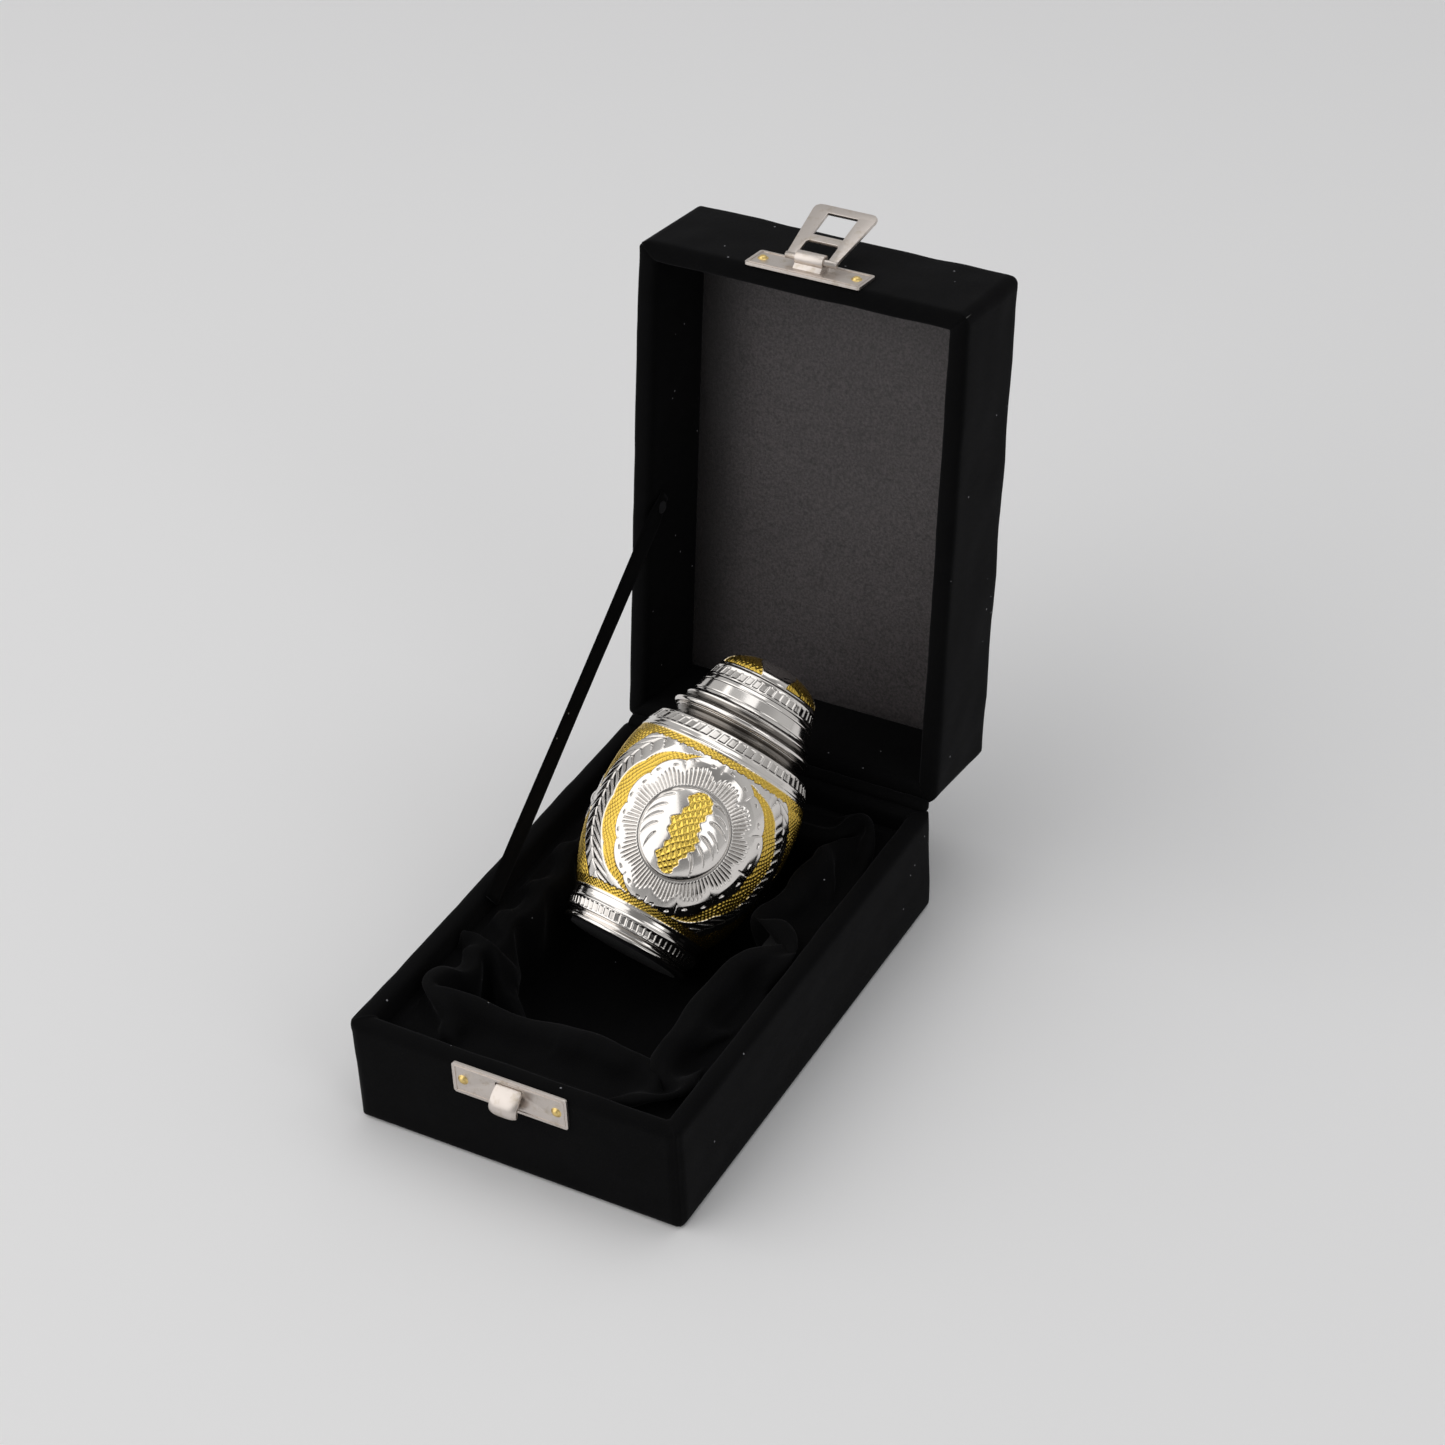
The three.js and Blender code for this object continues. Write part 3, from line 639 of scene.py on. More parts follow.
def bevelled(shown, width, segments=3, angle=35):
    """Rounds a stamped piece's edges and fixes its shading."""
    rounding = shown.modifiers.new("rounding", "BEVEL")
    rounding.width = width
    rounding.segments = segments
    rounding.limit_method = "ANGLE"
    rounding.angle_limit = math.radians(angle)
    rounding.harden_normals = False
    bpy.context.view_layer.objects.active = shown
    shown.select_set(True)
    bpy.ops.object.modifier_apply(modifier="rounding")
    shown.select_set(False)
    shown.data.shade_smooth()
    shown.data.set_sharp_from_angle(angle=math.radians(40))
    return shown


def extruded(outlines, low, high):
    """A flat stamping from (a, b) outlines: the first is its edge, the rest its holes."""
    curve = bpy.data.curves.new("stamping", "CURVE")
    curve.dimensions = "2D"
    curve.fill_mode = "BOTH"
    curve.extrude = (high - low) / 2
    for loop in outlines:
        spline = curve.splines.new("POLY")
        spline.points.add(len(loop) - 1)
        spline.points.foreach_set("co", np.column_stack([loop, np.zeros(len(loop)), np.ones(len(loop))])
                                  .ravel())
        spline.use_cyclic_u = True
    holder = bpy.data.objects.new("stamping", curve)
    bpy.context.collection.objects.link(holder)
    bpy.context.view_layer.update()
    mesh = bpy.data.meshes.new_from_object(holder.evaluated_get(bpy.context.evaluated_depsgraph_get()))
    bpy.data.objects.remove(holder)
    merged = {}
    points, index = [], []
    for vertex in mesh.vertices:
        key = tuple(round(c, 5) for c in vertex.co)
        if key not in merged:
            merged[key] = len(points)
            points.append([vertex.co.x, vertex.co.y, vertex.co.z + (high + low) / 2])
        index.append(merged[key])
    faces = []
    for polygon in mesh.polygons:
        face = [index[v] for v in polygon.vertices]
        if len(set(face)) > 2:
            faces.append(face)
    bpy.data.meshes.remove(mesh)
    return np.array(points), faces


def circle(a, b, radius, count=28):
    t = np.linspace(0, 2 * np.pi, count, endpoint=False)
    return np.column_stack([a + radius * np.cos(t), b + radius * np.sin(t)])


def rounded_plate(half, height, corner):
    loop = []
    for a, b, start in ((half, height, 0), (-half, height, 90), (-half, 0, 180), (half, 0, 270)):
        t = np.radians(np.linspace(start, start + 90, 7))
        centre = (a - math.copysign(corner, a), b - corner if b else corner)
        loop += [(centre[0] + corner * math.cos(k), centre[1] + corner * math.sin(k)) for k in t]
    return np.array(loop)


def joined(*parts):
    points, faces, start = [], [], 0
    for some, sides in parts:
        points.append(some)
        faces += [tuple(v + start for v in side) for side in sides]
        start += len(some)
    return np.concatenate(points), faces


def standing(points):
    """From (across, up, outwards) of a front plate to (x, y, z), outwards being -y."""
    return np.column_stack([points[:, 0], -points[:, 2], points[:, 1]])


def sideways(points):
    """From (outwards, up, across) of a part drawn in side view to (x, y, z)."""
    return np.column_stack([points[:, 2], -points[:, 0], points[:, 1]])


def clasp_plate(slots=()):
    """The plate with its pressed border line, and the slot its tongue was pushed out through."""
    body = extruded([rounded_plate(PLATE_HALF, PLATE_HEIGHT, 0.8), *slots], 0, PLATE_THICK)
    ring = [rounded_plate(PLATE_HALF - inset, PLATE_HEIGHT - 2 * inset, 0.8 - inset / 2) + [0, inset]
            for inset in (0.62, 0.88)]
    line = extruded(ring, PLATE_THICK - 0.1, PLATE_THICK + 0.13)
    return joined(body, line)


def pins(prefix, body, to_row, across_face):
    """A domed pin head with a small rolled shoulder at each end of a plate."""
    profile = [(0, 0.72), (0.35, 0.7), (0.7, 0.55), (0.95, 0.28), (1.02, 0.05), (1.3, 0.03), (1.36, -0.1),
               (1.2, -0.3), (0, -0.3)]
    steps = 28
    for side, name in ((-1, "left"), (1, "right")):
        t = np.linspace(0, 2 * np.pi, steps, endpoint=False)
        points, faces = [], []
        for radius, height in profile:
            for angle in t:
                points.append((side * 12 + max(radius, 1e-3) * math.cos(angle),
                               PLATE_HEIGHT / 2 + max(radius, 1e-3) * math.sin(angle),
                               PLATE_THICK + height))
        for row in range(len(profile) - 1):
            for i in range(steps):
                j = (i + 1) % steps
                faces.append((row * steps + j, row * steps + i, (row + 1) * steps + i, (row + 1) * steps + j))
        faces.append(tuple(range(steps)))
        faces.append(tuple(range((len(profile) - 1) * steps, len(profile) * steps))[::-1])
        head = piece(f"{prefix}_pin_{name}", to_row(standing(np.array(points)) + across_face) * MM, faces,
                     pin_brass)
        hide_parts(f"{prefix}_rivet_{name}")
        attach(head, body)


def hook():
    """The keeper's tongue: it comes out of its slot near the top, slopes down and curls back under."""
    centre = [(-0.2, 6.4), (0.4, 6.2), (1.4, 5.6), (2.5, 4.8), (3.45, 3.8), (3.95, 2.7), (3.9, 1.6), (3.4, 0.75),
              (2.7, 0.25), (1.9, 0.25), (1.3, 0.6)]
    half = [3.2, 3.3, 3.4, 3.5, 3.5, 3.5, 3.45, 3.3, 3.0, 2.6, 2.2]
    centre, half = np.array(centre), np.array(half)
    fine = np.linspace(0, len(centre) - 1, 45)
    a, b = np.interp(fine, range(len(centre)), centre[:, 0]), np.interp(fine, range(len(centre)), centre[:, 1])
    smooth = np.ones(5) / 5
    pad = lambda w: np.convolve(np.pad(w, 2, mode="edge"), smooth, "valid")
    a, b, wide = pad(a), pad(b), pad(np.interp(fine, range(len(half)), half))
    da, db = np.gradient(a), np.gradient(b)
    size = np.hypot(da, db)
    na, nb = db / size, -da / size
    across = 18
    points = []
    for side in (0.42, -0.42):
        for k in range(len(a)):
            for i in range(across + 1):
                x = wide[k] * math.sin((i / across - 0.5) * math.pi)
                bow = (0.12 + 0.4 * min(1, k / 24)) * (x / wide[k]) ** 4
                points.append((a[k] + na[k] * (side + bow), b[k] + nb[k] * (side + bow), x))
    row, count = across + 1, len(a) * (across + 1)
    faces = []
    for k in range(len(a) - 1):
        for i in range(across):
            q = k * row + i
            faces.append((q, q + 1, q + row + 1, q + row))
            faces.append((count + q, count + q + row, count + q + row + 1, count + q + 1))
        for q, r in ((k * row, (k + 1) * row), ((k + 1) * row + across, k * row + across)):
            faces.append((q, r, count + r, count + q))
    for i in range(across):
        faces.append((i + 1, i, count + i, count + i + 1))
        q = (len(a) - 1) * row + i
        faces.append((q, q + 1, count + q + 1, count + q))
    return np.array(points), faces


keeper_place = np.array([LATCH_X, -LENGTH / 2, TRAY_HEIGHT - PLATE_HEIGHT - 0.2])
plate, faces = clasp_plate([rounded_plate(3.5, 1.15, 0.3)[::-1] + [0, 5.95]])
keeper = piece("keeper_plate", (standing(plate) + keeper_place) * MM, faces, nickel_plate, False)
bevelled(keeper, 0.00018)
tongue, faces = hook()
tongue[:, 0] += PLATE_THICK * 0.4
keeper_hook = piece("keeper_hook", (sideways(tongue) + keeper_place) * MM, faces, nickel_plate)
for part in (keeper, keeper_hook):
    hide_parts("keeper_plate_with_hook")
    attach(part, "tray")
pins("keeper", "tray", lambda p: p, keeper_place)

# the lid's plate: drawn on the shut lid's front face, then turned open with it
lid_face = np.array([LATCH_X, -LENGTH, 0.5])
PIVOT = np.array([0.0, -2.55, 5.0])  # of the hasp, from the foot of its plate's back
plate, faces = clasp_plate()
t = np.radians(np.linspace(-120, 120, 22))
cheek = [(0.3, 2.1), *zip(2.55 + 1.75 * np.cos(t), 5 + 1.75 * np.sin(t)), (0.3, 7.6)]
lug = extruded([np.array(cheek), circle(2.55, 5, 1.0)], -3.5, 3.5)
lug_points = sideways(lug[0])
hasp_plate = piece("hasp_plate", opened(standing(plate) + lid_face) * MM, faces, nickel_plate, False)
knuckle = piece("hasp_knuckle", opened(lug_points + lid_face) * MM, lug[1], nickel_plate, False)
for part in (hasp_plate, knuckle):
    bevelled(part, 0.00018)
    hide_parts("hasp_plate_with_knuckle")
    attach(part, "case_lid")
pins("hasp", "case_lid", opened, lid_face)


def hasp_stamping():
    """The hasp's flat loop, widening from its pivot, with the knuckle's gap and the hook's window."""
    def half(along):
        return 6.4 + 0.1 * along

    length = 19.2
    edge = [(-half(0.7), 0.7), (half(0.7), 0.7), (half(length - 2), length - 2),
            (half(length - 1) - 0.25, length - 0.9), (half(length) - 1.2, length - 0.15),
            (half(length) - 2.2, length), (-half(length) + 2.2, length),
            (-half(length) + 1.2, length - 0.15), (-half(length - 1) + 0.25, length - 0.9),
            (-half(length - 2), length - 2)]
    gap = [(-4.1, 0.7), (-4.1, 5.4), (-3.6, 6.2), (3.6, 6.2), (4.1, 5.4), (4.1, 0.7)]
    left = [(-half(0.7), 0.0), (-4.1, 0.0)]
    window = [(-3.9, 8.4), (-3.9, 16.6), (3.9, 16.6), (3.9, 8.4)]
    body = [(-half(0), 0.0), (-4.1, 0.0), *[(a, b) for a, b in gap[1:5]], (4.1, 0.0), (half(0), 0.0), *edge[2:]]
    return extruded([np.array(body), np.array(window)], -0.45, 0.45)


stamping, faces = hasp_stamping()
rest = math.radians(18)
flat = np.column_stack([stamping[:, 0], -stamping[:, 2], stamping[:, 1]])
c, s = math.cos(rest), math.sin(rest)
flat = flat @ np.array([[1, 0, 0], [0, c, -s], [0, s, c]]).T + PIVOT
hasp = piece("hasp", opened(flat + lid_face) * MM, faces, nickel_plate, False)
bevelled(hasp, 0.00022)
bar_points, bar_faces = [], []
BAR_STEPS = 20
for k, (at, radius) in enumerate([(-6.6, 0.55), (-6.45, 0.8), (6.45, 0.8), (6.6, 0.55)]):
    for angle in np.linspace(0, 2 * np.pi, BAR_STEPS, endpoint=False):
        bar_points.append((at, radius * math.cos(angle), radius * math.sin(angle)))
for k in range(3):
    for i in range(BAR_STEPS):
        j = (i + 1) % BAR_STEPS
        bar_faces.append((k * BAR_STEPS + i, k * BAR_STEPS + j, (k + 1) * BAR_STEPS + j, (k + 1) * BAR_STEPS + i))
bar_faces += [tuple(range(BAR_STEPS))[::-1], tuple(range(3 * BAR_STEPS, 4 * BAR_STEPS))]
hasp_bar = piece("hasp_bar", opened(np.array(bar_points) + PIVOT + lid_face) * MM, bar_faces, nickel_plate)
for part in (hasp, hasp_bar):
    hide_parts("hasp_loop")
    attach(part, "hasp")


# ---- Stay strap ------------------------------------------------------------------------------------
# A narrow band of the same velvet, folded double and stitched, that stops the lid a little past upright.
# A covered stud holds it to the lid's left wall, and its lower end is tucked in behind the lining.
def strap_mesh():
    along, depth = 58.0, 4.5
    top = opened([[0, -along, depth]])[0]
    top = np.array([top[1], top[2]])
    foot = np.array([-10.5, 26.0])
    run = top - foot
    size = np.hypot(*run)
    way, side = run / size, np.array([-run[1], run[0]]) / size
    steps, lanes = 90, 10
    points, thick = [], 0.4
    for layer in (1, -1):
        for k in range(steps + 1):
            t = k / steps
            centre = foot + way * t * (size + 3.2)
            half = 3.9 * (1 - 0.45 * ease(np.array(t), 0.93, 1.0)) * (1 + 0.03 * math.sin(9 * t))
            lean = 0.5 * math.sin(2.3 * t + 0.4)
            for i in range(lanes + 1):
                w = i / lanes * 2 - 1
                round_off = math.sqrt(max(0.0, 1 - abs(w) ** 6))
                x = -36.75 + lean * 0.5 * w * 0.3 + layer * thick * round_off * (1 + 0.12 * math.sin(31 * t + 3 * w))
                y, z = centre + side * half * w
                points.append((x, y, z))
    row, count = lanes + 1, (steps + 1) * (lanes + 1)
    faces = []
    for k in range(steps):
        for i in range(lanes):
            q = k * row + i
            faces.append((q, q + row, q + row + 1, q + 1))
            faces.append((count + q, count + q + 1, count + q + row + 1, count + q + row))
        for q, r in (((k + 1) * row, k * row), (k * row + lanes, (k + 1) * row + lanes)):
            faces.append((q, r, count + r, count + q))
    for i in range(lanes):
        faces.append((i, i + 1, count + i + 1, count + i))
        q = steps * row + i
        faces.append((q + 1, q, count + q, count + q + 1))
    return np.array(points), faces, foot, top


points, faces, foot, top = strap_mesh()
strap = piece("stay_strap", points * MM, faces, velvet)
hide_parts("lid_stay_strap")
(foot[0] + 4) * MM
(foot[1] + 3) * MM
(top[0] - 6) * MM
(top[1] - 5) * MM
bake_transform(strap)


def turned_ring(profile, steps):
    """Spins (radius, height) points about Z; the last point joins the first if the two are the same."""
    profile = np.array(profile, float)
    closed = np.allclose(profile[0], profile[-1])
    if closed:
        profile = profile[:-1]
    angle = np.linspace(0, 2 * np.pi, steps, endpoint=False)
    radius = np.maximum(profile[:, 0], 1e-3)
    points = np.stack([radius[:, None] * np.cos(angle), radius[:, None] * np.sin(angle),
                       np.repeat(profile[:, 1][:, None], steps, 1)], -1)
    rows = len(profile)
    faces = []
    for r in range(rows if closed else rows - 1):
        n = (r + 1) % rows
        for i in range(steps):
            j = (i + 1) % steps
            faces.append((r * steps + i, r * steps + j, n * steps + j, n * steps + i))
    if not closed:
        faces.append(tuple(range(steps))[::-1])
        faces.append(tuple(range((rows - 1) * steps, rows * steps)))
    return points, faces


felt = Finish("black_felt", Roughness=0.97, Sheen_Weight=0.04, Sheen_Roughness=0.6, Specular_IOR_Level=0.1)
fuzz = felt.noise(1500, detail=5, roughness=0.75)
felt.feed(Base_Color=felt.mix(fuzz, (0.004, 0.004, 0.005), (0.018, 0.018, 0.02)))
felt.bump(fuzz, 0.0003, 0.7)
stud_points, faces = turned_ring([(0, -0.2), (0.8, -0.2), (0.8, 0.7), (1.35, 0.75), (1.6, 0.95), (1.45, 1.3),
                                  (0.9, 1.62), (0, 1.75)], 24)
stud_points = stud_points.reshape(-1, 3)
stud_points = np.column_stack([stud_points[:, 2] - 37.1, stud_points[:, 1] - 58, -stud_points[:, 0] + 4.5])
stud = piece("strap_stud", opened(stud_points) * MM, faces, felt.material)
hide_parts("strap_stud_lid")
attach(stud, "case_lid")


# ---- Cloth hinge -----------------------------------------------------------------------------------
# The two rims are joined by a doubled strip of velvet. It bulges a little on the hinge line and pinches
# into a small fold at each end, where the cover's corners meet.
def hinge_strip():
    span, steps, turn = 41.2, 120, 16
    points = []
    for k in range(steps + 1):
        x = -span + 2 * span * k / steps
        near_end = math.exp(-((span - abs(x)) / 3.0) ** 2)
        radius = 1.75 + 0.08 * math.sin(x * 0.9) + 0.05 * math.sin(x * 2.3 + 1) + 0.2 * near_end
        radius *= min(1, 0.25 + (span - abs(x)) / 0.8)
        for i in range(turn):
            angle = 2 * math.pi * i / turn
            y = LENGTH / 2 - 0.2 + radius * math.cos(angle) * (1 + 0.15 * near_end)
            z = TRAY_HEIGHT + 0.5 - 0.35 * near_end + radius * math.sin(angle) * 0.85
            points.append((x, y, z))
    faces = [(k * turn + i, k * turn + (i + 1) % turn, (k + 1) * turn + (i + 1) % turn, (k + 1) * turn + i)
             for k in range(steps) for i in range(turn)]
    faces += [tuple(range(turn))[::-1], tuple(range(steps * turn, (steps + 1) * turn))]
    return np.array(points), [f[::-1] for f in faces]


points, faces = hinge_strip()
hinge_cloth = piece("hinge_cloth", points * MM, faces, velvet)
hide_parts("hinge_cloth_roll")
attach(hinge_cloth, "tray")


# ---- Urn: metal ------------------------------------------------------------------------------------
# Spun brass, bright nickel plated. The engraver cuts through the plate with a small chisel, so the cut
# and hatched grounds show brass, which is lacquered gold, and the raised parts stay mirror bright.
urn_metal = Finish("nickel_and_gilt", Metallic=1.0, Roughness=0.1)
gilt = urn_metal.node("ShaderNodeAttribute", {"attribute_name": "gilt"}, output="Fac")
# painted shade: this attribute darkens the silver and the gold by the depth of each groove and hatched cell, and
# almost to black in the coves of the neck and the cap
cut = urn_metal.node("ShaderNodeAttribute", {"attribute_name": "cut"}, output="Fac")
smear = urn_metal.noise(160, detail=3, roughness=0.6)
polish = urn_metal.noise(3600, detail=2, roughness=0.5, stretch=(1, 1, 0.1))
silver = urn_metal.mix(cut, (0.83, 0.795, 0.76), (0.16, 0.145, 0.13))
gold = urn_metal.mix(cut, (0.93, 0.66, 0.13), (0.5, 0.29, 0.03))
urn_metal.feed(
    Base_Color=urn_metal.mix(gilt, silver, gold),
    Roughness=0.1 + smear * 0.06 + cut * 0.1 + gilt * 0.1,
)
urn_metal.bump(polish, 0.00001, 0.4)


def nearest_line(values, spacing):
    """Distance to the nearest of a set of parallel lines."""
    return np.abs((values / spacing + 0.5) % 1 - 0.5) * spacing


def groove(distance, width, depth):
    return -depth * np.clip(1 - np.abs(distance) / width, 0, 1)


def hatched(u, v, spacing, slope=49, depth=0.2, width=0.27):
    """Ground cut away in small diamonds, so that two sets of fine ridges are left crossing."""
    c, s = math.cos(math.radians(slope)), math.sin(math.radians(slope))
    bend = 0.18 * np.sin(u * 0.9) + 0.15 * np.sin(v * 1.1 + 2)
    one = nearest_line(u * s + v * c + bend, spacing)
    two = nearest_line(u * s - v * c - bend, spacing * 1.06)
    return -depth * np.clip(np.minimum(one, two) / width, 0, 1)


def cuts(u, v, lines, height):
    """Tapered chisel cuts, each (start, end, sideways bow, width, depth), taken out of height."""
    for (x0, y0), (x1, y1), bow, width, depth in lines:
        size = math.hypot(x1 - x0, y1 - y0)
        reach = width + abs(bow) + 0.4
        near = np.flatnonzero(
            (u > min(x0, x1) - reach) & (u < max(x0, x1) + reach)
            & (v > min(y0, y1) - reach) & (v < max(y0, y1) + reach)
        )
        if not len(near):
            continue
        a, b = (x1 - x0) / size, (y1 - y0) / size
        along = ((u[near] - x0) * a + (v[near] - y0) * b) / size
        off = -(u[near] - x0) * b + (v[near] - y0) * a - bow * 4 * along * (1 - along)
        inside = np.clip(along / 0.16, 0, 1) ** 0.5 * np.clip(1 - along, 0, 1) ** 0.6
        taper = width * inside * (along > 0) * (along < 1)
        edge = np.clip(off / np.maximum(taper, 1e-3) * 0.5 + 0.5, 0, 1)
        shape = np.where(edge < 0.75, edge / 0.75, (1 - edge) / 0.25) * ((off > -taper) & (off < taper))
        height[near] = height[near] - depth * shape * np.minimum(1, inside * 1.6)
    return height


URN_COLUMNS = 960
MOTIF_AT = math.radians(-60.0)
MOTIF_HEIGHT = 27.6
ROUND = 23.4  # the radius that turns angle into distance round the belly


def ladder(angle, s, low, high, count, slant=0.0, depth=0.24):
    """A band of sunk cells between upright bars."""
    inside = ease(s, low, low + 0.22) * (1 - ease(s, high - 0.22, high))
    share = (angle * count / (2 * np.pi) + slant * (s - low)) % 1
    cell = ease(share, 0.0, 0.1) * (1 - ease(share, 0.72, 0.84))
    tilt = 0.45 + 0.55 * np.clip((share - 0.05) / 0.6, 0, 1)
    return -depth * inside * cell * tilt


def belly_engraving(angle, s):
    """Height above the plain metal, how gilt it is, and how deeply cut, over the vessel's belly."""
    half_turn = np.pi
    wrapped_angle = (angle - MOTIF_AT + half_turn / 2) % half_turn - half_turn / 2
    u, v = wrapped_angle * ROUND, s - MOTIF_HEIGHT
    rho, theta = np.hypot(u, v), np.arctan2(v, u)
    height, gilded = np.zeros(u.shape), np.zeros(u.shape)

    # a gilt ground behind everything, between two thin bands
    ground = hatched(u, v, 0.95) - 0.12
    # the silver flower field: a wavy edge with a cusp between each two of twelve petals
    scallop = 0.95 * np.abs(np.sin(6 * theta + 0.3)) ** 0.6 + 0.2 * np.sin(5 * theta + 1)
    field_edge = 18.1 + 1.5 * np.cos(theta) + scallop
    crescent = 5.3 * np.clip(1 - (v / 17.8) ** 2, 0, 1) ** 0.55
    leaf_edge = field_edge + crescent
    in_field = 1 - ease(rho, field_edge - 0.1, field_edge + 0.1)
    # outside the crescents a broad silver leaf stands on each side, its rim bowed in at top and bottom
    leaf_rim = 31.6 - 0.03 * v**2 - 0.35 * np.abs(np.sin(0.9 * v))
    in_leaf = ease(rho, leaf_edge - 0.1, leaf_edge + 0.1) * (1 - ease(np.abs(u), leaf_rim - 0.1, leaf_rim + 0.1))
    vein = (leaf_edge * np.abs(np.cos(theta)) + leaf_rim) / 2
    across = np.clip((np.abs(u) - vein) / 4.0, -1, 1)
    barb = (v / 2.3 + 1.15 * np.abs(across)) % 1
    side_u = half_turn * ROUND / 2 - np.abs(u)
    side_rho, side_theta = np.hypot(side_u, v), np.arctan2(v, side_u)
    bloom_edge = 5.2 + 0.8 * np.abs(np.cos(4 * side_theta))
    in_bloom = 1 - ease(side_rho, bloom_edge - 0.1, bloom_edge + 0.1)
    silver = np.clip(in_field + in_leaf + in_bloom, 0, 1)
    height = ground * (1 - silver)
    gilded = 1 - silver
    height -= in_leaf * (0.34 * (1 - barb) ** 2 * (1 - np.abs(across) ** 4) + 0.2 * np.clip(1 - np.abs(across) / 0.09, 0, 1))

    # sunburst round the medallion: chisel lines that end in shallow points
    rays = 92
    ray = np.abs((theta * rays / (2 * np.pi)) % 1 - 0.5) * 2
    tip = 14.5 + 1.9 * np.abs(np.sin(6 * theta + 0.3)) + 0.25 * np.sin(23 * theta)
    burst = ease(rho, 11.3, 11.8) * (1 - ease(rho, tip - 1.4, tip))
    height -= 0.4 * burst * np.clip(1 - ray / 0.62, 0, 1)
    # petals bulge a little, and thin lines part them
    bulge = 0.22 * np.clip(1 - np.abs(rho - 17.2) / 2.4, 0, 1) * in_field
    height += bulge * np.abs(np.sin(6 * theta + 0.3)) ** 0.5
    # the medallion: a low dome in a cut ring
    dome = np.clip(1 - (rho / 10.7) ** 2, 0, 1)
    height += 1.2 * dome ** 0.8
    height += groove(rho - 10.95, 0.42, 0.3)

    # its gilt patch, wavy edged
    left = -3.6 - 0.8 * np.sin(0.75 * v + 0.6) + 0.4 * np.sin(2.2 * v)
    right = 2.9 + 0.7 * np.sin(0.62 * v + 2.4) + 0.35 * np.sin(2.7 * v + 1)
    ends = np.sqrt(np.clip(1 - np.abs((v - 0.3) / 10.2) ** 4, 0, 1))
    into = np.minimum(u - left * ends - 0.3, right * ends + 0.1 - u)
    patch = ease(into, -0.08, 0.12) * (rho < 10.6) * (ends > 0.05)
    height += patch * (hatched(u, v, 1.3, 49, 0.34, 0.4) - 0.06)
    gilded = np.maximum(gilded, patch)

    lines = []
    # blades cut with a broad gouge, blunt where they start beside the patch and running out to a point
    for start, end, bow, width in (
        ((-4.9, 8.9), (-9.2, 5.6), -0.5, 0.42), ((-6.1, 7.4), (-11.0, 1.6), -0.9, 0.6),
        ((-6.4, 4.6), (-10.4, -0.3), -0.7, 0.55), ((-6.3, 2.4), (-10.3, -2.6), -0.7, 0.6),
        ((-6.4, -0.2), (-9.5, -5.2), -0.7, 0.62), ((-5.8, -2.4), (-7.0, -7.4), -0.5, 0.5),
        ((2.6, 9.2), (6.7, 7.9), 0.5, 0.5), ((4.0, 7.1), (8.6, 5.0), 0.6, 0.3),
        ((3.7, 5.2), (9.4, 3.0), 0.7, 0.6), ((4.3, 3.1), (9.0, -0.2), 0.6, 0.28),
        ((3.4, 1.4), (8.9, -2.2), 0.7, 0.6), ((3.9, -0.9), (7.9, -5.0), 0.6, 0.3),
        ((2.9, -3.1), (6.0, -8.0), 0.6, 0.6),
    ):
        lines.append((start, end, bow, width, 0.5))
    # two nicks on each petal, and a short line where two petals meet
    for k in range(24):
        at = (k + 0.5) * math.pi / 12 - 0.05
        r = 17.35 + 1.2 * math.cos(at) + (0.25 if k % 2 else -0.25)
        x, y = r * math.cos(at), r * math.sin(at)
        lines.append(((x - 0.75 * math.sin(at), y + 0.75 * math.cos(at)),
                      (x + 0.75 * math.sin(at), y - 0.75 * math.cos(at)), 0.0, 0.42, 0.4))
    for k in range(12):
        at = (k * math.pi - 0.3) / 6
        far = 18.4 + 1.4 * math.cos(at)
        lines.append(((16.3 * math.cos(at), 16.3 * math.sin(at)), (far * math.cos(at), far * math.sin(at)),
                      0.1, 0.22, 0.22))
    height = cuts(u.ravel(), v.ravel(), lines, height.ravel()).reshape(u.shape)
    # side flower: eight petals with a ring of small strokes
    petals = np.abs((side_theta * 8 / (2 * np.pi)) % 1 - 0.5) * 2
    height -= 0.22 * in_bloom * ease(side_rho, 1.6, 2.0) * np.clip(1 - petals / 0.3, 0, 1)
    height += 0.5 * np.clip(1 - (side_rho / 1.7) ** 2, 0, 1)

    # gilt bands above and below, with a chiselled edge, and plain metal beyond them
    wobble = 0.14 * np.sin(angle * 61) + 0.1 * np.sin(angle * 147 + 1)
    top = ease(s, 46.3 + wobble, 46.5 + wobble) * (1 - ease(s, 48.2, 48.35))
    low = ease(s, 7.9, 8.05) * (1 - ease(s, 9.7 + wobble, 9.9 + wobble))
    band = np.clip(top + low, 0, 1)
    flat_u = angle * ROUND
    height = height * (1 - band) + band * (hatched(flat_u, s, 0.75, 30, 0.16, 0.26) - 0.16)
    gilded = gilded * (1 - band) + band
    plain = np.clip(ease(s, 48.2, 48.35) + 1 - ease(s, 7.9, 8.05), 0, 1)
    return height * (1 - plain), gilded * (1 - plain)


def smooth_bead(height, s, centre, half, rise):
    return height + rise * np.sqrt(np.clip(1 - ((s - centre) / half) ** 2, 0, 1))


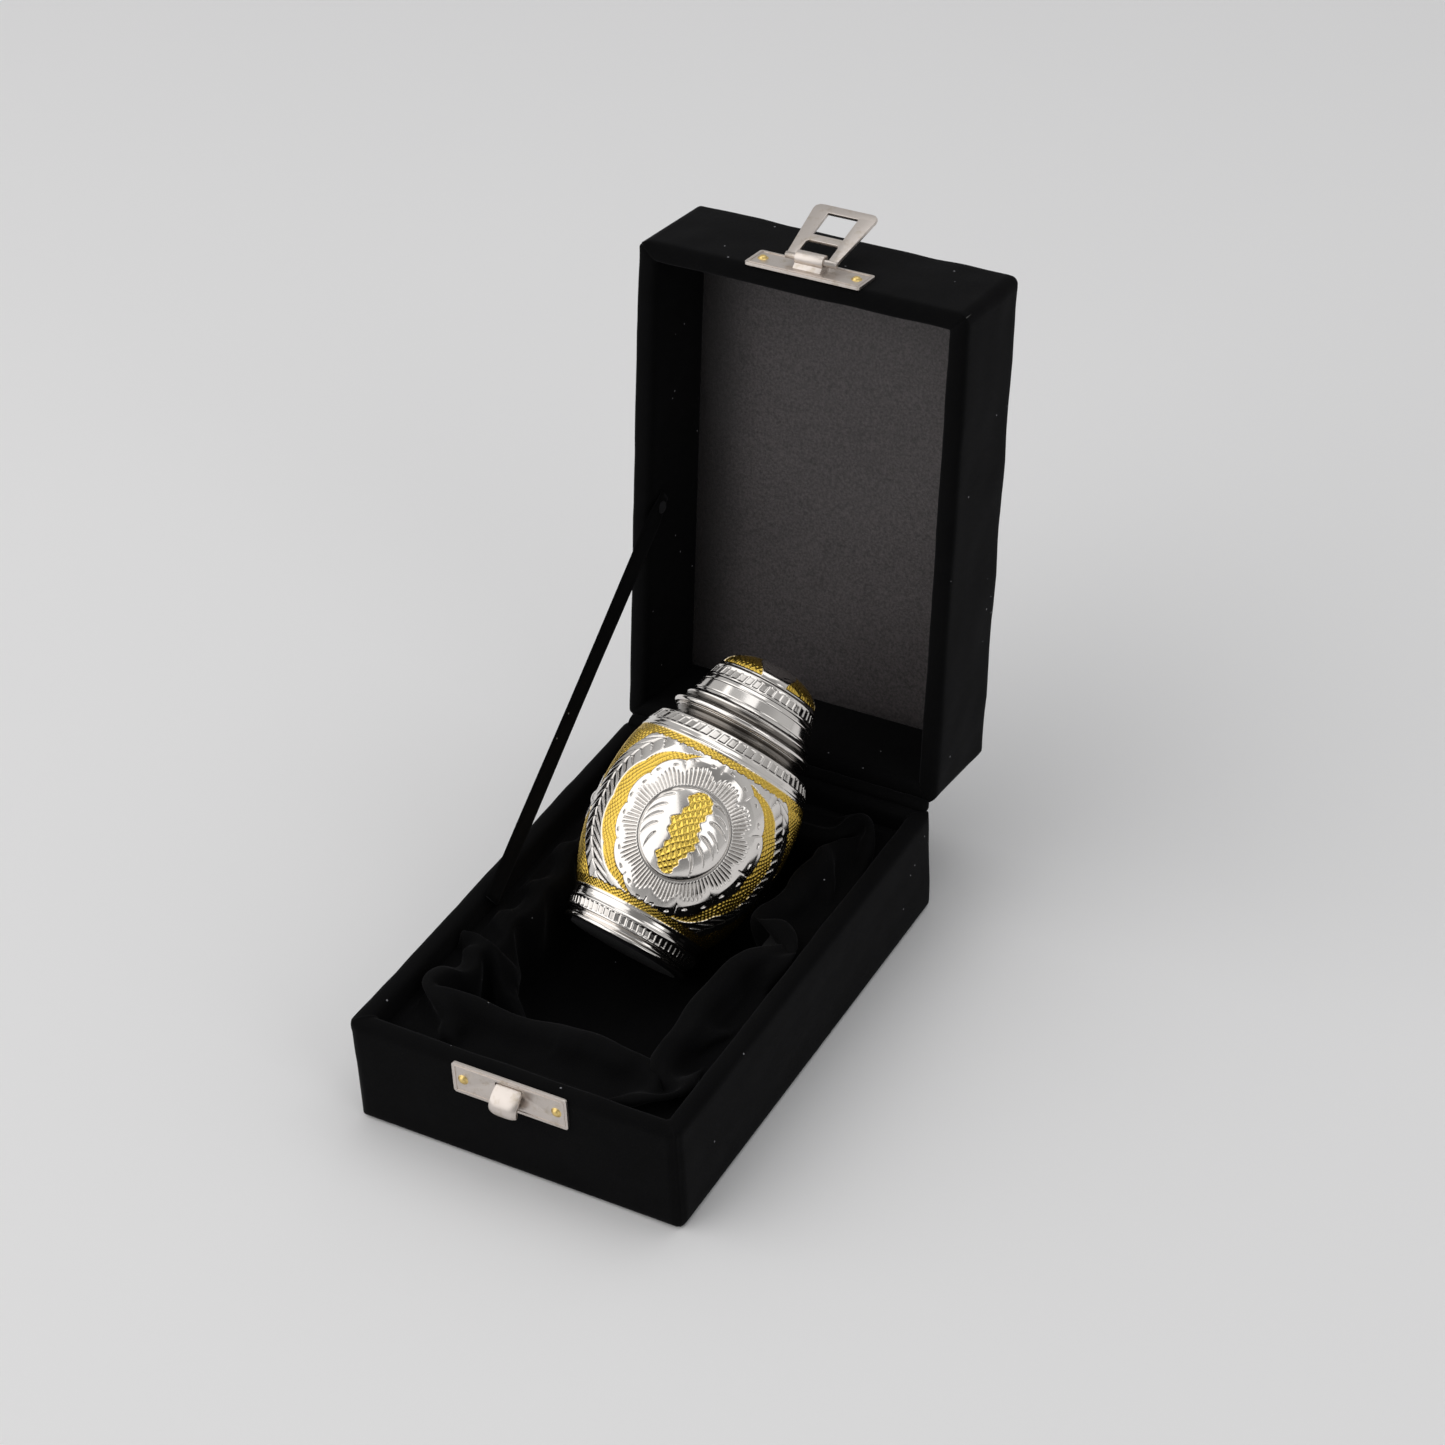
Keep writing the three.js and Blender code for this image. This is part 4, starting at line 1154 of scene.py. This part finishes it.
# outside of the vessel, as (height, radius), from its foot to the start of the belly and on to its mouth
BASE_MOULDING = [(0.0, 15.1), (0.0, 15.6), (0.12, 15.9), (0.5, 16.08), (0.95, 15.98), (1.25, 15.65), (1.6, 15.4),
                 (2.15, 15.45), (2.4, 15.9), (2.55, 16.3), (2.75, 16.42), (5.0, 16.85), (5.15, 16.98), (5.35, 17.0),
                 (5.55, 16.88), (5.8, 16.75), (7.3, 16.85), (7.55, 17.02), (7.8, 17.1)]
NECK_MOULDING = [(50.2, 21.1), (50.3, 21.2), (50.5, 21.15), (53.2, 19.75), (53.4, 19.72), (53.5, 19.4), (53.6, 18.9),
                 (53.75, 18.1), (54.1, 17.1), (54.6, 16.4), (55.2, 16.1), (55.8, 16.2), (56.3, 16.6), (56.6, 17.1)]
MOUTH = [(56.7, 17.1), (56.7, 13.2), (56.5, 13.0), (53.4, 13.0), (53.2, 13.2), (52.5, 16.6), (50, 19.6), (47, 20.9),
         (42, 22.1), (36, 22.5), (30, 22.4), (23.5, 21.6), (17, 20.1), (12, 18.1), (8.4, 16.0), (2.6, 14.4), (0.0, 14.4)]


def finer(pairs, most):
    return rounded_steps(pairs, most)


outer_rows = np.concatenate([finer(BASE_MOULDING, 0.17)[:-1],
                             np.column_stack([np.arange(7.8, 50.2, 0.155)] * 2), finer(NECK_MOULDING, 0.17)])
belly = (outer_rows[:, 0] >= 7.8) & (outer_rows[:, 0] < 50.2) & (outer_rows[:, 0] == outer_rows[:, 1])
outer_rows[belly, 1] = np.polyval(belly_curve, outer_rows[belly, 0])
blend_low = 17.1 - np.polyval(belly_curve, 7.8)
blend_high = 21.1 - np.polyval(belly_curve, 50.2)
share = (outer_rows[belly, 0] - 7.8) / 42.4
outer_rows[belly, 1] += blend_low * (1 - share) ** 6 + blend_high * share ** 6
inner_rows = finer(MOUTH, 2.5)


def turned_and_engraved(name, outer, inner, columns, engrave, closed_top=False):
    """Spins the outside with its engraving and the inside without, as one closed shell."""
    angle = np.linspace(0, 2 * np.pi, columns, endpoint=False)
    s, a = np.meshgrid(outer[:, 0], angle, indexing="ij")
    radius = np.repeat(outer[:, 1][:, None], columns, 1)
    height, gilded, groove_shade_values = engrave(a, s)
    slope = np.gradient(outer[:, 1]), np.gradient(outer[:, 0])
    size = np.hypot(*slope) + 1e-9
    out_r, out_s = (slope[1] / size)[:, None], (-slope[0] / size)[:, None]
    radius = np.maximum(radius + height * out_r, 1e-3)
    s = s + height * out_s
    shell = np.stack([radius * np.cos(a), radius * np.sin(a), s], -1)
    inside = np.stack([np.maximum(inner[:, 1], 1e-3)[:, None] * np.cos(angle),
                       np.maximum(inner[:, 1], 1e-3)[:, None] * np.sin(angle),
                       np.repeat(inner[:, 0][:, None], columns, 1)], -1)
    points = np.concatenate([shell, inside]).reshape(-1, 3)
    rows = len(outer) + len(inner)
    grid = np.arange(rows * columns).reshape(rows, columns)
    if closed_top:
        low, high = grid[:-1], grid[1:]
    else:
        low, high = grid, np.roll(grid, -1, 0)
    faces = np.stack([low, np.roll(low, -1, 1), np.roll(high, -1, 1), high], -1).reshape(-1, 4).tolist()
    if closed_top:
        faces += [tuple(grid[0][::-1]), tuple(grid[-1])]
    shown = piece(name, leaned(points) * MM, faces, urn_metal.material)
    # the second attribute is painted shade for the grooves, hatched cells and coves
    for label, values in (("gilt", gilded), ("cut", groove_shade_values)):
        layer = shown.data.attributes.new(label, "FLOAT", "POINT")
        store = np.zeros(len(points), np.float32)
        store[: values.size] = np.clip(values, 0, 1).ravel()
        layer.data.foreach_set("value", store)
    return shown


def engrave_vessel(angle, s):
    height, gilded = belly_engraving(angle, s)
    low = ladder(angle, s, 2.95, 4.85, 66, 0.12)
    high = ladder(angle, s, 50.7, 53.0, 56, -0.1)
    height = height + low + high
    height += groove(s - 6.35, 0.12, 0.1) + groove(s - 49.1, 0.14, 0.14)
    # painted shade: the cove above the neck's ladder band is darkened almost to black, and each groove is darkened by
    # its depth
    shaded = ease(s, 53.55, 53.8) * (1 - ease(s, 56.2, 56.5))
    return height, gilded, np.maximum(np.clip(-height * 2.2, 0, 1) * 0.62, 0.95 * shaded)


vessel = turned_and_engraved("urn_body", outer_rows, inner_rows, URN_COLUMNS, engrave_vessel)
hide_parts("urn_vessel")
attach(vessel, "urn")
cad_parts["urn_foot_felt"].data.materials[0] = felt.material
turned_brass = plated_finish("turned_brass", (0.8, 0.6, 0.26), (0.6, 0.43, 0.18))
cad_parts["urn_base_disc"].data.materials[0] = turned_brass
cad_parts["urn_cap_threaded_sleeve"].data.materials[0] = turned_brass


# ---- Urn: cap --------------------------------------------------------------------------------------
# The cap is spun from the same metal, screws into the neck, and carries a rolled flange, a stepped skirt,
# a ladder band, and a dome with gilt hatched corners between four silver petals.
CAP_MOULDING = [(56.9, 17.2), (57.0, 17.6), (57.25, 17.95), (57.6, 18.15), (58.0, 18.15), (58.3, 17.95), (58.5, 17.5),
                (58.7, 16.9), (59.1, 16.35), (59.6, 16.15), (60.1, 16.2), (60.35, 16.35), (60.6, 16.4), (60.8, 16.2),
                (60.95, 15.85), (61.2, 15.65), (61.5, 15.5), (64.7, 14.75), (64.9, 14.6), (65.1, 14.62), (65.9, 14.35),
                (66.2, 14.15), (66.5, 14.1), (69.0, 13.35), (69.2, 13.4), (69.5, 13.3), (69.75, 13.0), (69.9, 12.8),
                (70.2, 12.75)]
DOME = [(12.75 * math.cos(t), 70.2 + 5.8 * math.sin(t)) for t in np.linspace(0.03, math.pi / 2 - 0.002, 60)]
cap_outer = np.concatenate([finer(CAP_MOULDING, 0.16), np.array(DOME)[:, ::-1]])
cap_inner = finer([(74.8, 0.001), (74.2, 5), (72.4, 8.6), (70, 11), (66, 12), (62, 13), (57.1, 13), (56.9, 13.2)], 2.0)


def engrave_cap(angle, s):
    height = ladder(angle, s, 66.7, 68.9, 44, -0.1)
    height = height + groove(s - 62.1, 0.14, 0.16)
    on_dome = ease(s, 70.3, 70.45)
    reach = np.sqrt(np.clip(1 - ((s - 70.2) / 5.8) ** 2, 0, 1)) * 12.75
    way = (angle - math.radians(-56) + np.pi / 4) % (np.pi / 2) - np.pi / 4
    u, v = reach * np.cos(way), reach * np.sin(way)
    # each silver petal is a broad leaf from the middle of the dome to its rim
    petal = (v / (3.4 * np.clip(np.sin(np.pi * np.clip(u / 15.5, 0, 1)), 0, 1) + 1.2)) ** 2
    gap = ease(petal, 0.95, 1.12) * (reach > 4.2)
    ground = gap * on_dome
    height = height + ground * (hatched(reach * np.cos(angle), reach * np.sin(angle), 0.8, 45, 0.16, 0.28) - 0.18)
    vein = groove(v, 0.28, 0.22) + groove(nearest_line(u + 0.6 * np.abs(v) + 0.4, 1.1), 0.22, 0.16) * (np.abs(v) > 0.8)
    height = height + vein * (1 - ground) * on_dome * (reach > 2.2) * (reach < 11.8)
    # painted shade: the cove above the cap's rolled flange is darkened almost to black, and each groove is darkened by
    # its depth
    shaded = ease(s, 58.55, 58.8) * (1 - ease(s, 60.1, 60.35))
    return height, ground, np.maximum(np.clip(-height * 2.2, 0, 1) * 0.62, 0.95 * shaded)


cap = turned_and_engraved("urn_lid_cap", cap_outer, cap_inner, 560, engrave_cap)
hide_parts("urn_cap")
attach(cap, "cap")
